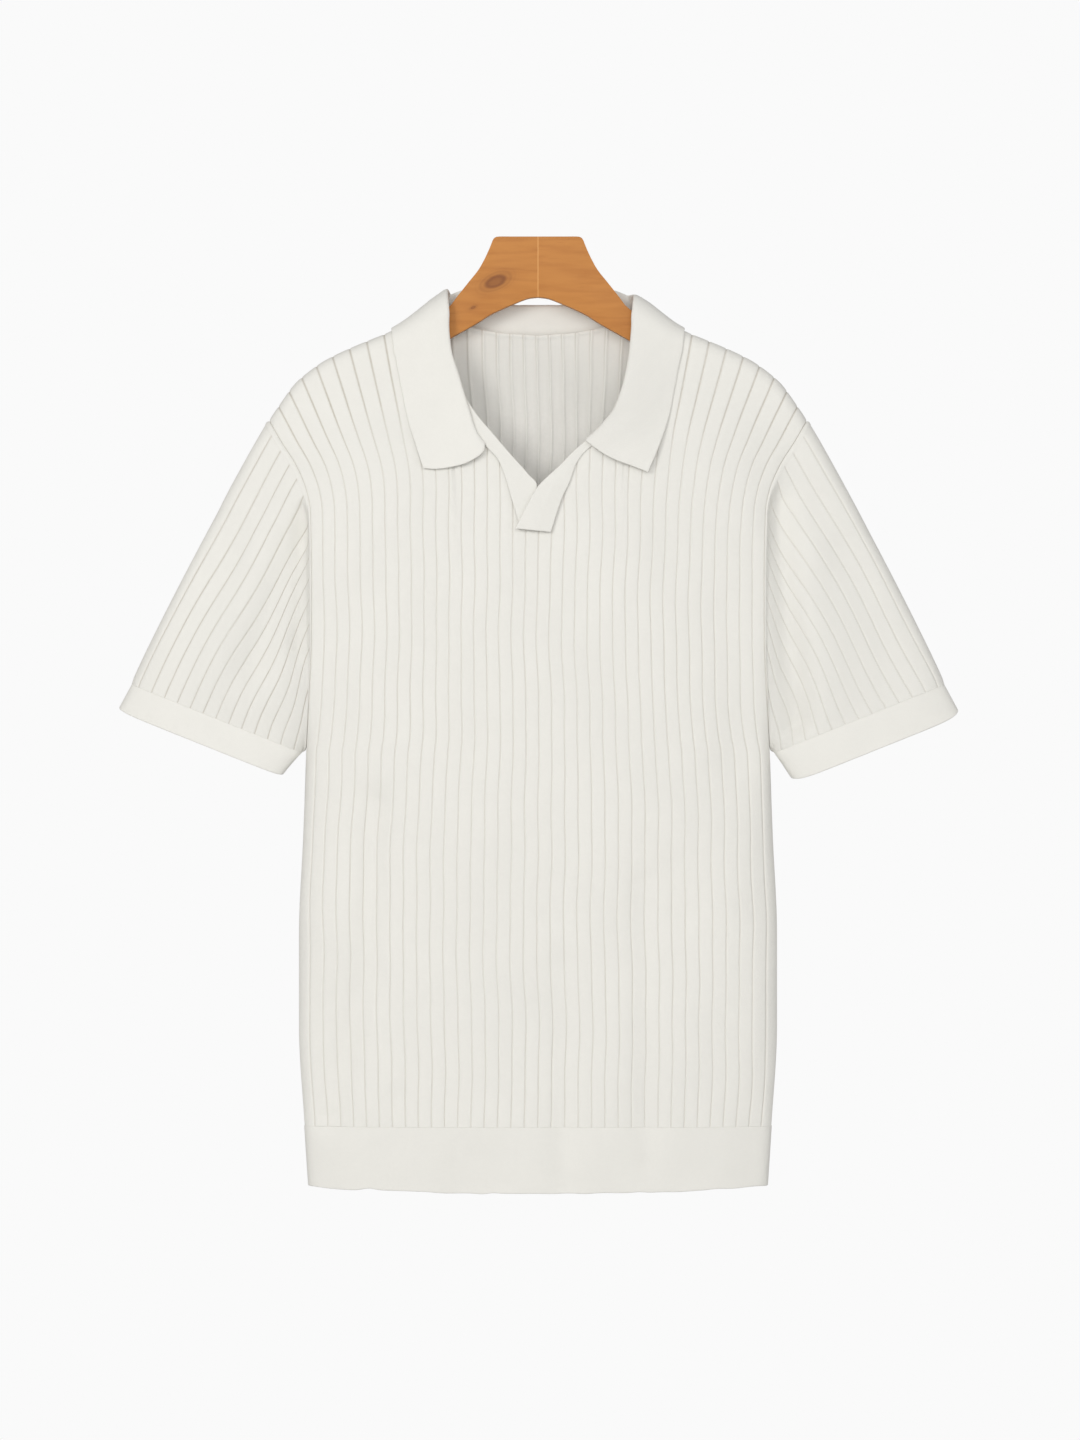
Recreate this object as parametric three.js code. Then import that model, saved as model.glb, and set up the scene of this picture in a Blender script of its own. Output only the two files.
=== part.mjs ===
// A short-sleeved ribbed knit polo shirt with an open collar, hanging on a plain wooden hanger.
// Millimetres. The origin is the middle of the hanger's flat top, +Z is up and the shirt's front faces -Y.
import * as THREE from "three";

// The cloth and its seams
const WALL = 1.6;
const RIB_RAISE = 0.8;
const SEAM_GAP = 0.3;
const HALF_GAP = SEAM_GAP / 2;
const TRIM_WALL = 1.8;
const TRIM_CLEAR = 2.4;

// Heights on the body, down from the hanger's top
const UNDERARM = -410;
const SHOULDER_TIP = -148;
const BAND_TOP = -713.6;
const BAND_BOTTOM = -767;
const BAND_LIFT = 5;

// Ribs: how many on each panel and on each side of a sleeve, and the share of a rib that its groove takes
const PANEL_RIBS = 36;
const SLEEVE_RIBS = 14;
const GROOVE_SHARE = 0.12;
// The ribs beside the neck, as shares of the way from a panel's middle to its edge
const NECK_SIDE = { from: 0.27, to: 0.34 };

// The fullness of the flattened tube that each section is, and the round ridge over the hanger
const FULLNESS = 2.6;
const RIDGE = 11;
const RIDGE_SPREAD = 110;

const FRONT = -1;
const BACK = 1;

// The body's sections: where the panel ends at its side seam or armhole, how far out the flattened tube
// would close, and how deep the front and the back stand from the middle plane
const BODY = [
  { z: -767, half: 184, reach: 184, front: 25, back: 22 },
  { z: -713, half: 187.5, reach: 187.5, front: 27, back: 24 },
  { z: -634, half: 192, reach: 192, front: 29, back: 25 },
  { z: -560, half: 192, reach: 192, front: 30, back: 26 },
  { z: -480, half: 188.5, reach: 188.5, front: 31, back: 26 },
  { z: -410, half: 186, reach: 186, front: 32, back: 27 },
  { z: -370, half: 183.5, reach: 196, front: 32, back: 27 },
  { z: -324, half: 181.3, reach: 214, front: 32, back: 27 },
  { z: -276, half: 181, reach: 240, front: 31, back: 27 },
  { z: -220, half: 182.3, reach: 275, front: 30, back: 27 },
  { z: -204, half: 185.5, reach: 285, front: 30, back: 27 },
  { z: -185, half: 193.5, reach: 297, front: 30, back: 27 },
  { z: -165, half: 206, reach: 312, front: 30, back: 27 },
  { z: -148, half: 216, reach: 325, front: 30, back: 27 },
  { z: 0, half: 216, reach: 330, front: 30, back: 27 },
];

// The shoulder line from the neck's middle to past the shoulder's tip
const SHOULDER = [
  { x: 0, z: -22 },
  { x: 12, z: -23 },
  { x: 24, z: -26.6 },
  { x: 40, z: -33 },
  { x: 72, z: -50 },
  { x: 116, z: -75 },
  { x: 140, z: -85 },
  { x: 154, z: -91 },
  { x: 172, z: -100 },
  { x: 186, z: -110 },
  { x: 195, z: -118 },
  { x: 206, z: -133 },
  { x: 216, z: -148 },
  { x: 250, z: -210 },
];

// The cut edges of the panels at the neck, from the wearer's right to the wearer's left
const FRONT_NECK = [
  { x: -71.9, z: -50 },
  { x: -71.5, z: -98 },
  { x: -69, z: -117 },
  { x: -61, z: -140 },
  { x: -48, z: -158 },
  { x: -38, z: -167 },
  { x: -27, z: -175 },
  { x: -20, z: -199 },
  { x: -14, z: -222 },
  { x: -12, z: -232 },
  { x: 5, z: -232 },
  { x: 7, z: -226 },
  { x: 23, z: -194 },
  { x: 31, z: -175 },
  { x: 38, z: -167 },
  { x: 48, z: -158 },
  { x: 61, z: -140 },
  { x: 69, z: -117 },
  { x: 71.5, z: -98 },
  { x: 71.9, z: -50 },
];
const BACK_NECK = [
  { x: -71.9, z: -50 },
  { x: -70.5, z: -62.5 },
  { x: -64, z: -67 },
  { x: -50, z: -72 },
  { x: -30, z: -76 },
  { x: 0, z: -78 },
  { x: 30, z: -76 },
  { x: 50, z: -72 },
  { x: 64, z: -67 },
  { x: 70.5, z: -62.5 },
  { x: 71.9, z: -50 },
];

// Rows of a panel: fixed heights below the underarm, then shares of the way from there to its top edge
const LOW_ROWS = [-640, -530];
const HIGH_ROWS = [0.25, 0.5, 0.7, 0.81, 0.87, 0.92, 0.965, 0.99, 1];

// The sleeve's end seam as seen from the front, its half depth, and the rows from armhole to cuff
const SLEEVE_END = { innerX: 196, innerZ: -414, outerX: 326, outerZ: -357.5, depth: 17 };
const SLEEVE_ROWS = [0, 0.08, 0.18, 0.34, 0.65, 1];
// The share of the sleeve over which its wall turns from the seam's direction to its own, and the share at
// each end over which its folds fade
const TURN_ROW = 0.08;
const FOLD_FADE = 0.1;

// How far the sleeve's outer edge bows out between the shoulder and the cuff, and which way
const BOW = { reach: 3.2, directionX: 0.884, directionZ: 0.467 };

// The armhole seam opens a little where it turns under the arm and over the shoulder's tip
const TURN_GAP = 2;
const TURN_SHARE = 0.1;
const BAND_COLUMNS = 24;

// The cuff runs down the arm from the sleeve's end, and its lower corners are lifted and rounded
const CUFF = { height: 23.5, directionX: 0.463, directionZ: -0.886, columns: 16 };
const CUFF_LIFT = { inner: 10, outer: 6, power: 8 };

// Soft troughs in the hanging cloth: a line from one end to the other, its width and its depth
const FRONT_FOLDS = [
  { x0: -134, z0: -440, x1: -136, z1: -600, width: 13, depth: 4.4 },
  { x0: -138, z0: -600, x1: -160, z1: -700, width: 13, depth: 4 },
  { x0: 18, z0: -585, x1: 22, z1: -705, width: 12, depth: 3.2 },
  { x0: 84, z0: -520, x1: 88, z1: -690, width: 12, depth: 3.6 },
];
const BACK_FOLDS = [
  { x0: 120, z0: -440, x1: 132, z1: -690, width: 14, depth: 3 },
  { x0: -20, z0: -560, x1: -14, z1: -700, width: 12, depth: 2.6 },
  { x0: -104, z0: -500, x1: -118, z1: -690, width: 13, depth: 2.8 },
];
const LEFT_SLEEVE_FOLDS = [
  { x0: 193, z0: -236, x1: 228, z1: -345, width: 14, depth: 6 },
  { x0: 222, z0: -240, x1: 262, z1: -352, width: 13, depth: -1.4 },
];
const RIGHT_SLEEVE_FOLDS = [
  { x0: 187, z0: -218, x1: 196, z1: -308, width: 11, depth: 7.5 },
  { x0: 196, z0: -308, x1: 203, z1: -402, width: 11, depth: 6.5 },
  { x0: 212, z0: -250, x1: 222, z1: -400, width: 11, depth: -2.2 },
];

// The collar from its front end round to the middle of the back neck: the fold that shows at the neck,
// the sewn edge below it and the leaf's free edge
const COLLAR = [
  { side: FRONT, foldX: 42.3, foldZ: -161, seamX: 49, seamZ: -169, edgeX: 90, edgeZ: -189.5 },
  { side: FRONT, foldX: 50.5, foldZ: -150, seamX: 58, seamZ: -157, edgeX: 98, edgeZ: -168 },
  { side: FRONT, foldX: 59, foldZ: -134.5, seamX: 67, seamZ: -139, edgeX: 105, edgeZ: -144 },
  { side: FRONT, foldX: 66, foldZ: -112, seamX: 74, seamZ: -115, edgeX: 110, edgeZ: -119 },
  { side: FRONT, foldX: 70.3, foldZ: -87, seamX: 80, seamZ: -89, edgeX: 114, edgeZ: -99 },
  { side: FRONT, foldX: 72.2, foldZ: -70, seamX: 82, seamZ: -74, edgeX: 116, edgeZ: -90 },
  { side: FRONT, foldX: 73.2, foldZ: -51.4, seamX: 82.5, seamZ: -56, edgeX: 117, edgeZ: -75.4 },
  { side: BACK, foldX: 70.6, foldZ: -46.5, seamX: 80, seamZ: -68, edgeX: 114, edgeZ: -92 },
  { side: BACK, foldX: 62, foldZ: -43, seamX: 70, seamZ: -72, edgeX: 103, edgeZ: -107 },
  { side: BACK, foldX: 44, foldZ: -47, seamX: 52, seamZ: -78, edgeX: 76, edgeZ: -115 },
  { side: BACK, foldX: 22, foldZ: -54, seamX: 27, seamZ: -82, edgeX: 38, edgeZ: -117 },
  { side: BACK, foldX: 11, foldZ: -54.9, seamX: 13.5, seamZ: -83.4, edgeX: 19, edgeZ: -117.7 },
  { side: BACK, foldX: 0, foldZ: -55, seamX: 0, seamZ: -83.8, edgeX: 0, edgeZ: -118 },
];
const COLLAR_STEPS = [2, 2, 2, 2, 2, 4, 4, 3, 2, 2, 1, 1];
const UPRIGHT_DROP = 12;
// How far the leaf's front edge drops beside the fold before it runs straight to its tip
const END_SAG = { [-1]: 17, [1]: 9 };
const STEEP_SHARE = 0.04;
// How fast that drop fades from station to station, and how fast the fold's own rise fades down the leaf
const SAG_FADE = 2;
const RISE_FADE = 1.6;
// Across the collar from its sewn edge to its free edge: whether the point is on the stand or the leaf, the
// share of the way from the fold, the millimetres added to that, and how far it stands off the panel
const COLLAR_SECTION = [
  { leaf: 0, share: 1, extra: 0, off: 2.8 },
  { leaf: 0, share: 0.5, extra: 0.8, off: 3 },
  { leaf: 0, share: 0, extra: 1.9, off: 3.1 },
  { leaf: 1, share: 0, extra: 0, off: 4.5 },
  { leaf: 1, share: 0, extra: 1.9, off: 5.9 },
  { leaf: 1, share: 0.25, extra: 1, off: 5.7 },
  { leaf: 1, share: 0.5, extra: 0, off: 4.3 },
  { leaf: 1, share: 0.76, extra: 0, off: 3.1 },
  { leaf: 1, share: 1, extra: 0, off: 2.7 },
];

// The two strips of the neck opening, from the collar's end down: the free edge and the sewn edge, and how
// far the free edge stands off the panel. The wearer's left strip is sewn down on top of the other
const UNDER_STRIP = [
  { innerX: -39.5, innerZ: -157.5, outerX: -35.5, outerZ: -173, off: 2.4 },
  { innerX: -29, innerZ: -168.5, outerX: -31.5, outerZ: -181, off: 2.4 },
  { innerX: -13.6, innerZ: -182, outerX: -25.6, outerZ: -194, off: 2.4 },
  { innerX: -1, innerZ: -202.5, outerX: -21.5, outerZ: -210, off: 2.4 },
  { innerX: -3, innerZ: -231, outerX: -15, outerZ: -232, off: 2.4 },
];
const OVER_STRIP = [
  { innerX: 39.5, innerZ: -165.5, outerX: 36.5, outerZ: -175.5, off: 2.6 },
  { innerX: 27.4, innerZ: -176.8, outerX: 30.5, outerZ: -187.5, off: 3 },
  { innerX: 15.5, innerZ: -188.5, outerX: 25.5, outerZ: -197.5, off: 3.6 },
  { innerX: 0, innerZ: -201.6, outerX: 20.4, outerZ: -208, off: 4.6 },
  { innerX: -8.5, innerZ: -216, outerX: 15.5, outerZ: -221.5, off: 4.8 },
  { innerX: -18, innerZ: -235.4, outerX: 10.3, outerZ: -238.2, off: 4.8 },
];
const STRIP_SHARES = [0, 0.5, 1];

// The hanger's front outline, from the middle of its top round the tip to the middle of its arch
const HANGER_TOP_HALF = 36.5;
const HANGER_CORNER = 4;
const HANGER_DEPTH = 12;
const HANGER_EDGE = 2.5;
const HANGER_SIDE = [
  { x: 38.5, z: -8 },
  { x: 42.5, z: -17 },
  { x: 48, z: -27 },
  { x: 56, z: -37 },
  { x: 64, z: -47 },
  { x: 74, z: -58.7 },
  { x: 95, z: -69 },
  { x: 116, z: -79.8 },
  { x: 140, z: -90 },
  { x: 160, z: -98.8 },
  { x: 176, z: -107.6 },
  { x: 188, z: -118 },
];
const HANGER_TIP = { x: 186, z: -129, radius: 9 };
const HANGER_ARCH = [
  { x: 176, z: -135 },
  { x: 140, z: -119 },
  { x: 105, z: -101 },
  { x: 71, z: -82 },
  { x: 56, z: -73.5 },
  { x: 39, z: -63 },
  { x: 22, z: -55 },
  { x: 9, z: -49.8 },
  { x: 0, z: -48.5 },
];

const ribbedKnit = new THREE.MeshStandardMaterial({ color: 0xefede4, roughness: 0.95, metalness: 0 });
const plainKnit = new THREE.MeshStandardMaterial({ color: 0xf1efe7, roughness: 0.95, metalness: 0 });
const wood = new THREE.MeshStandardMaterial({ color: 0xc48040, roughness: 0.45, metalness: 0 });

const vec = (x, y, z) => new THREE.Vector3(x, y, z);
const mix = (a, b, share) => a + (b - a) * share;
const clamp = (value, low, high) => Math.min(Math.max(value, low), high);

// A smooth step from 0 to 1
function ease(share) {
  const t = clamp(share, 0, 1);
  return t * t * (3 - 2 * t);
}

// The value of one column of a table as a function of another, joined by straight lines
function straight(rows, key, column) {
  return (at) => {
    const last = rows.length - 2;
    const found = rows.findIndex((row, i) => i <= last && at <= rows[i + 1][key]);
    const i = found < 0 ? last : found;
    const share = (at - rows[i][key]) / (rows[i + 1][key] - rows[i][key]);
    return mix(rows[i][column], rows[i + 1][column], clamp(share, 0, 1));
  };
}

// The same, joined by a smooth curve that never overshoots a row
function smooth(rows, key, column) {
  const steps = rows.slice(1).map((row, i) => (row[column] - rows[i][column]) / (row[key] - rows[i][key]));
  const slopes = rows.map((row, i) => {
    const before = steps[Math.max(i - 1, 0)];
    const after = steps[Math.min(i, steps.length - 1)];
    return before * after <= 0 ? 0 : (2 * before * after) / (before + after);
  });
  return (at) => {
    const last = rows.length - 2;
    const found = rows.findIndex((row, i) => i <= last && at <= rows[i + 1][key]);
    const i = found < 0 ? last : found;
    const width = rows[i + 1][key] - rows[i][key];
    const t = clamp((at - rows[i][key]) / width, 0, 1);
    const rise = rows[i + 1][column] - rows[i][column];
    const bend = (slopes[i] * width - rise) * (1 - t) + (rise - slopes[i + 1] * width) * t;
    return rows[i][column] + rise * t + bend * t * (1 - t);
  };
}

// A point at an even share of the way along a path given as a function of 0 to 1
function evenly(path, samples = 240) {
  const points = Array.from({ length: samples + 1 }, (none, i) => path(i / samples));
  const reached = [0];
  for (let i = 1; i <= samples; i++) {
    reached.push(reached[i - 1] + points[i].distanceTo(points[i - 1]));
  }
  return (share) => {
    const want = clamp(share, 0, 1) * reached[samples];
    const i = clamp(reached.findIndex((length) => length >= want) - 1, 0, samples - 1);
    const part = (want - reached[i]) / (reached[i + 1] - reached[i]);
    return points[i].clone().lerp(points[i + 1], part);
  };
}

const panelHalf = smooth(BODY, "z", "half");
const bodyReach = smooth(BODY, "z", "reach");
const frontDepth = smooth(BODY, "z", "front");
const backDepth = smooth(BODY, "z", "back");
const shoulderHeight = smooth(SHOULDER, "x", "z");
const frontNeck = straight(FRONT_NECK, "x", "z");
const backNeck = straight(BACK_NECK, "x", "z");

// How steep the shoulder line is, as the cosine of its angle
function shoulderCosine(x) {
  const step = 2;
  const slope = (shoulderHeight(x + step) - shoulderHeight(Math.max(x - step, 0))) / (2 * step);
  return 1 / Math.hypot(1, slope);
}

// How far a point of the front view lies below the shoulder line, square to it
const dropAt = (x, z) => Math.max(shoulderHeight(Math.abs(x)) - z, 0) * shoulderCosine(Math.abs(x));

// How far the cloth stands from the middle plane at a point of the front view
function depthAt(x, z, side) {
  const full = side === FRONT ? frontDepth(z) : backDepth(z);
  const share = clamp(Math.abs(x) / bodyReach(z), 0, 1);
  const section = (1 - share ** FULLNESS) ** (1 / FULLNESS);
  const drop = dropAt(x, z);
  const round = Math.sqrt(1 - (1 - clamp(drop / RIDGE, 0, 1)) ** 2);
  return section * (RIDGE * round + (full - RIDGE) * ease((drop - RIDGE) / RIDGE_SPREAD));
}

// How far the folds of a table push the cloth in at a point of the front view
function foldAt(folds, x, z) {
  return folds.reduce((sum, fold) => {
    const runX = fold.x1 - fold.x0;
    const runZ = fold.z1 - fold.z0;
    const along = ((x - fold.x0) * runX + (z - fold.z0) * runZ) / (runX ** 2 + runZ ** 2);
    const t = clamp(along, 0, 1);
    const away = Math.hypot(x - fold.x0 - t * runX, z - fold.z0 - t * runZ);
    return sum + fold.depth * Math.exp(-((away / fold.width) ** 2));
  }, 0);
}

// The front-view x of a rib that lies at a share of the way from the panel's middle to its edge,
// spaced evenly along the cloth
const spacings = new Map();
function ribX(share, z, side) {
  const key = side * 1e6 + z;
  if (!spacings.has(key)) {
    const half = panelHalf(z);
    const reach = Math.max(bodyReach(z), half);
    const full = side === FRONT ? frontDepth(z) : backDepth(z);
    const end = Math.asin(half / reach);
    spacings.set(
      key,
      evenly((t) => {
        const across = Math.sin(t * end);
        return vec(reach * across, full * (1 - across ** FULLNESS) ** (1 / FULLNESS), 0);
      }, 120),
    );
  }
  return Math.sign(share) * spacings.get(key)(Math.abs(share)).x;
}

// The height at which a rib meets the panel's top edge
function ribTop(share, side) {
  const neck = side === FRONT ? frontNeck : backNeck;
  const neckEnd = FRONT_NECK[FRONT_NECK.length - 1].x;
  const edge = (x) => (Math.abs(x) < neckEnd ? neck(x) : shoulderHeight(Math.abs(x)));
  let low = UNDERARM;
  let high = 0;
  for (let z = UNDERARM; z < 0; z += 2) {
    if (z > edge(ribX(share, z, side))) {
      high = z;
      low = z - 2;
      break;
    }
  }
  for (let turn = 0; turn < 16; turn++) {
    const middle = (low + high) / 2;
    if (middle > edge(ribX(share, middle, side))) {
      high = middle;
    } else {
      low = middle;
    }
  }
  return low;
}

// A point of a panel's outer face between its ribs, and the direction out of the cloth there
function panelPoint(share, z, side, folds) {
  const x = ribX(share, z, side);
  const depth = Math.max(depthAt(x, z, side) - foldAt(folds, x, z), HALF_GAP);
  return vec(x, side * depth, z);
}
function panelNormal(share, z, side, folds) {
  const across = 0.002;
  const up = 0.1;
  const left = panelPoint(Math.max(share - across, -1), z, side, folds);
  const right = panelPoint(Math.min(share + across, 1), z, side, folds);
  const below = panelPoint(share, z - up, side, folds);
  const here = panelPoint(share, z, side, folds);
  return right.sub(left).cross(here.sub(below)).multiplyScalar(-side).normalize();
}

// The armhole's curve on one side, from the underarm to the shoulder's tip
function armholeCurve(side) {
  return evenly((t) => {
    const z = mix(UNDERARM, SHOULDER_TIP, (1 - Math.cos(Math.PI * t)) / 2);
    const x = panelHalf(z);
    return vec(x, side * depthAt(x, z, side), z);
  });
}
const armhole = { [FRONT]: armholeCurve(FRONT), [BACK]: armholeCurve(BACK) };

// The ring at the sleeve's end on one side, from its inner to its outer end
function sleeveEndCurve(side) {
  const end = SLEEVE_END;
  const middle = vec((end.innerX + end.outerX) / 2, 0, (end.innerZ + end.outerZ) / 2);
  const reach = vec((end.outerX - end.innerX) / 2, 0, (end.outerZ - end.innerZ) / 2);
  return evenly((t) => {
    const across = -Math.cos(Math.PI * t);
    const depth = end.depth * (1 - Math.abs(across) ** FULLNESS) ** (1 / FULLNESS);
    return middle.clone().addScaledVector(reach, across).add(vec(0, side * depth, 0));
  });
}
const sleeveEnd = { [FRONT]: sleeveEndCurve(FRONT), [BACK]: sleeveEndCurve(BACK) };

// A point of the sleeve, by its share of the way round from the underarm to the shoulder on one side and of
// the way from armhole to cuff, and the direction out of the cloth there
function sleevePoint(round, along, side) {
  const bow = BOW.reach * round ** 4 * Math.sqrt(Math.sin(Math.PI * clamp(along, 0, 1)));
  const point = armhole[side](round).lerp(sleeveEnd[side](round), along);
  return point.add(vec(BOW.directionX * bow, 0, BOW.directionZ * bow));
}
function sleeveNormal(round, along, side) {
  const step = 0.01;
  const lower = sleevePoint(Math.max(round - step, 0), along, side);
  const upper = sleevePoint(Math.min(round + step, 1), along, side);
  const near = sleevePoint(round, Math.max(along - step, 0), side);
  const far = sleevePoint(round, Math.min(along + step, 1), side);
  const normal = far.sub(near).cross(upper.sub(lower)).multiplyScalar(-side);
  if (round === 0 || round === 1) {
    normal.y = 0;
  }
  return normal.normalize();
}

// The direction out of the cloth at the armhole seam, shared by the panel and the sleeve, and the direction
// square to the seam into the sleeve
function seamFrame(round, side) {
  const point = armhole[side](round);
  const z = clamp(point.z, UNDERARM + 0.5, SHOULDER_TIP - 0.5);
  const normal = panelNormal(1, z, side, []).add(sleeveNormal(round, 0, side));
  const step = 0.01;
  const along = armhole[side](Math.min(round + step, 1)).sub(armhole[side](Math.max(round - step, 0)));
  if (round === 0 || round === 1) {
    normal.y = 0;
    along.set(0, round === 0 ? side : -side, 0);
  }
  normal.normalize();
  return { point, normal, into: along.cross(normal).multiplyScalar(-side).normalize() };
}

// A closed surface that is put together from rows of points, each with its place along the row
class Surface {
  constructor() {
    this.points = [];
    this.faces = [];
  }

  add(point, at) {
    return { at, index: this.points.push(point) - 1 };
  }

  // Triangles between two rows, each point joined to what lies beside its place
  zip(first, second) {
    let i = 0;
    let j = 0;
    while (i < first.length - 1 || j < second.length - 1) {
      const nextFirst = i < first.length - 1 ? first[i + 1].at : Infinity;
      const nextSecond = j < second.length - 1 ? second[j + 1].at : Infinity;
      if (nextFirst <= nextSecond) {
        this.faces.push([first[i].index, first[i + 1].index, second[j].index]);
        i += 1;
      } else {
        this.faces.push([first[i].index, second[j + 1].index, second[j].index]);
        j += 1;
      }
    }
  }

  // The wall between an outer and an inner sheet. A column is { at, row }, and a closed wall is a tube
  close(outer, inner, tube) {
    const round = (columns) => (tube ? [...columns, { at: 1, row: columns[0].row }] : columns);
    const [faceOut, faceIn] = [outer, inner].map(round);
    faceOut.slice(1).forEach((column, i) => this.zip(faceOut[i].row, column.row));
    faceIn.slice(1).forEach((column, i) => this.zip(column.row, faceIn[i].row));
    const edge = (columns, pick) => columns.map(({ at, row }) => ({ at, index: pick(row).index }));
    const first = (row) => row[0];
    const last = (row) => row[row.length - 1];
    this.zip(edge(faceIn, last), edge(faceOut, last));
    this.zip(edge(faceOut, first), edge(faceIn, first));
    if (!tube) {
      this.zip(faceIn[0].row, faceOut[0].row);
      this.zip(last(faceOut).row, last(faceIn).row);
    }
  }

  mesh(name, material) {
    const volume = this.faces.reduce((sum, face) => {
      const [a, b, c] = face.map((index) => this.points[index]);
      return sum + a.dot(b.clone().cross(c));
    }, 0);
    const faces = volume < 0 ? this.faces.map(([a, b, c]) => [a, c, b]) : this.faces;
    const geometry = new THREE.BufferGeometry().setFromPoints(this.points);
    geometry.setIndex(faces.flat());
    geometry.computeVertexNormals();
    const mesh = new THREE.Mesh(geometry, material);
    mesh.name = name;
    return mesh;
  }
}

// The places of the points across a number of ribs, from 0 to 1, and how far each is raised
function ribPlaces(count) {
  const places = [];
  for (let rib = 0; rib < count; rib++) {
    places.push({ at: rib / count, raise: 0 });
    places.push({ at: (rib + GROOVE_SHARE) / count, raise: RIB_RAISE });
    places.push({ at: (rib + 1 - GROOVE_SHARE) / count, raise: RIB_RAISE });
  }
  return [...places, { at: 1, raise: 0 }];
}
const groovePlaces = (count) => ribPlaces(count).filter(({ raise }) => raise === 0);

// The places on a panel's plain inner face, closer together where the neck's edge turns over the shoulder
function insidePlaces() {
  const beside = (at) => Math.abs(2 * at - 1) > NECK_SIDE.from && Math.abs(2 * at - 1) < NECK_SIDE.to;
  const places = ribPlaces(PANEL_RIBS).filter(({ at, raise }) => raise === 0 || beside(at));
  return places.map(({ at }) => ({ at, raise: 0 }));
}

// The front or back panel: columns of points along the ribs, from the hem band to the neck and shoulders
function panel(name, side, folds) {
  const surface = new Surface();
  const bottom = BAND_TOP + HALF_GAP;

  const wallPoint = (share, z, top, push) => {
    const point = panelPoint(share, z, side, folds);
    const normal = panelNormal(share, Math.min(z, top - 0.05), side, folds);
    const onShoulder = z >= top && Math.abs(point.x) >= FRONT_NECK[FRONT_NECK.length - 1].x;
    if (onShoulder || Math.abs(share) === 1) {
      normal.y = 0;
      normal.normalize();
    }
    point.addScaledVector(normal, push);
    point.y = side * Math.max(side * point.y, HALF_GAP);
    return point;
  };

  const column = (at, push, highRows) => {
    const share = 2 * at - 1;
    const top = ribTop(share, side);
    const rows = [bottom, ...LOW_ROWS, UNDERARM, ...highRows.map((part) => mix(UNDERARM, top, part))];
    const whole = shoulderHeight(Math.abs(ribX(share, top, side))) - bottom;
    const row = rows.map((z) => surface.add(wallPoint(share, z, top, push), (z - bottom) / whole));
    return { at, row };
  };

  // The outermost column follows the side seam and then the armhole, point by point with the sleeve
  const edgeColumn = (at, push, places) => {
    const share = 2 * at - 1;
    const height = (z) => (z - bottom) / (SHOULDER_TIP - bottom);
    const row = [bottom, ...LOW_ROWS].map((z) => surface.add(wallPoint(share, z, 0, push), height(z)));
    places.forEach((place) => {
      const { point, normal, into } = seamFrame(place.at, side);
      point.addScaledVector(into, -HALF_GAP).addScaledVector(normal, push);
      point.y = side * Math.max(side * point.y, HALF_GAP);
      point.x *= share;
      row.push(surface.add(point, height(armhole[side](place.at).z)));
    });
    return { at, row };
  };

  // A column just inside the edge has a point for each of the edge's
  const besideEdge = ribPlaces(SLEEVE_RIBS).slice(1).map(({ at }) => {
    const { z } = armhole[side](at);
    return (z - UNDERARM) / (SHOULDER_TIP - UNDERARM);
  });
  const nearEdge = (at) => Math.min(at, 1 - at) < 1 / (2 * PANEL_RIBS);
  const sheet = (places, push, seamPlaces) =>
    places.map(({ at, raise }) =>
      at === 0 || at === 1
        ? edgeColumn(at, push, seamPlaces)
        : column(at, push + raise, nearEdge(at) ? besideEdge : HIGH_ROWS),
    );
  const outer = sheet(ribPlaces(PANEL_RIBS), 0, ribPlaces(SLEEVE_RIBS));
  const inner = sheet(insidePlaces(), -WALL, groovePlaces(SLEEVE_RIBS));
  surface.close(outer, inner, false);
  return surface.mesh(name, ribbedKnit);
}

// The places round a tube, first up its front from 0 to 1 and then down its back
function roundPlaces(places) {
  const front = places.slice(0, -1).map(({ at, raise }) => ({ at: at / 2, round: at, side: FRONT, raise }));
  const back = places.slice(1).reverse();
  return [...front, ...back.map(({ at, raise }) => ({ at: 1 - at / 2, round: at, side: BACK, raise }))];
}

// One sleeve, a tube from the armhole to its cuff
function sleeve(name, hand, folds) {
  const surface = new Surface();
  const sheet = (places, push) =>
    roundPlaces(places).map(({ at, round, side, raise }) => {
      const row = SLEEVE_ROWS.map((along) => {
        const frame = seamFrame(round, side);
        const normal = sleeveNormal(round, along, side);
        normal.lerp(frame.normal, 1 - ease(along / TURN_ROW)).normalize();
        const point = sleevePoint(round, along, side);
        const near = ease(along / FOLD_FADE) * ease((1 - along) / FOLD_FADE);
        const fold = side === FRONT ? near * foldAt(folds, point.x, point.z) : 0;
        point.addScaledVector(normal, push + raise - fold);
        const turn = ease(1 - Math.min(round, 1 - round) / TURN_SHARE);
        point.addScaledVector(frame.into, along === 0 ? HALF_GAP + turn * TURN_GAP : 0);
        if (along === 1) {
          point.x -= CUFF.directionX * HALF_GAP;
          point.z -= CUFF.directionZ * HALF_GAP;
        }
        point.x *= hand;
        return surface.add(point, along);
      });
      return { at, row };
    });
  surface.close(sheet(ribPlaces(SLEEVE_RIBS), 0), sheet(groovePlaces(SLEEVE_RIBS), -WALL), true);
  return surface.mesh(name, ribbedKnit);
}

// Even places without ribs
const plainPlaces = (count) => Array.from({ length: count + 1 }, (none, i) => ({ at: i / count, raise: 0 }));

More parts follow.
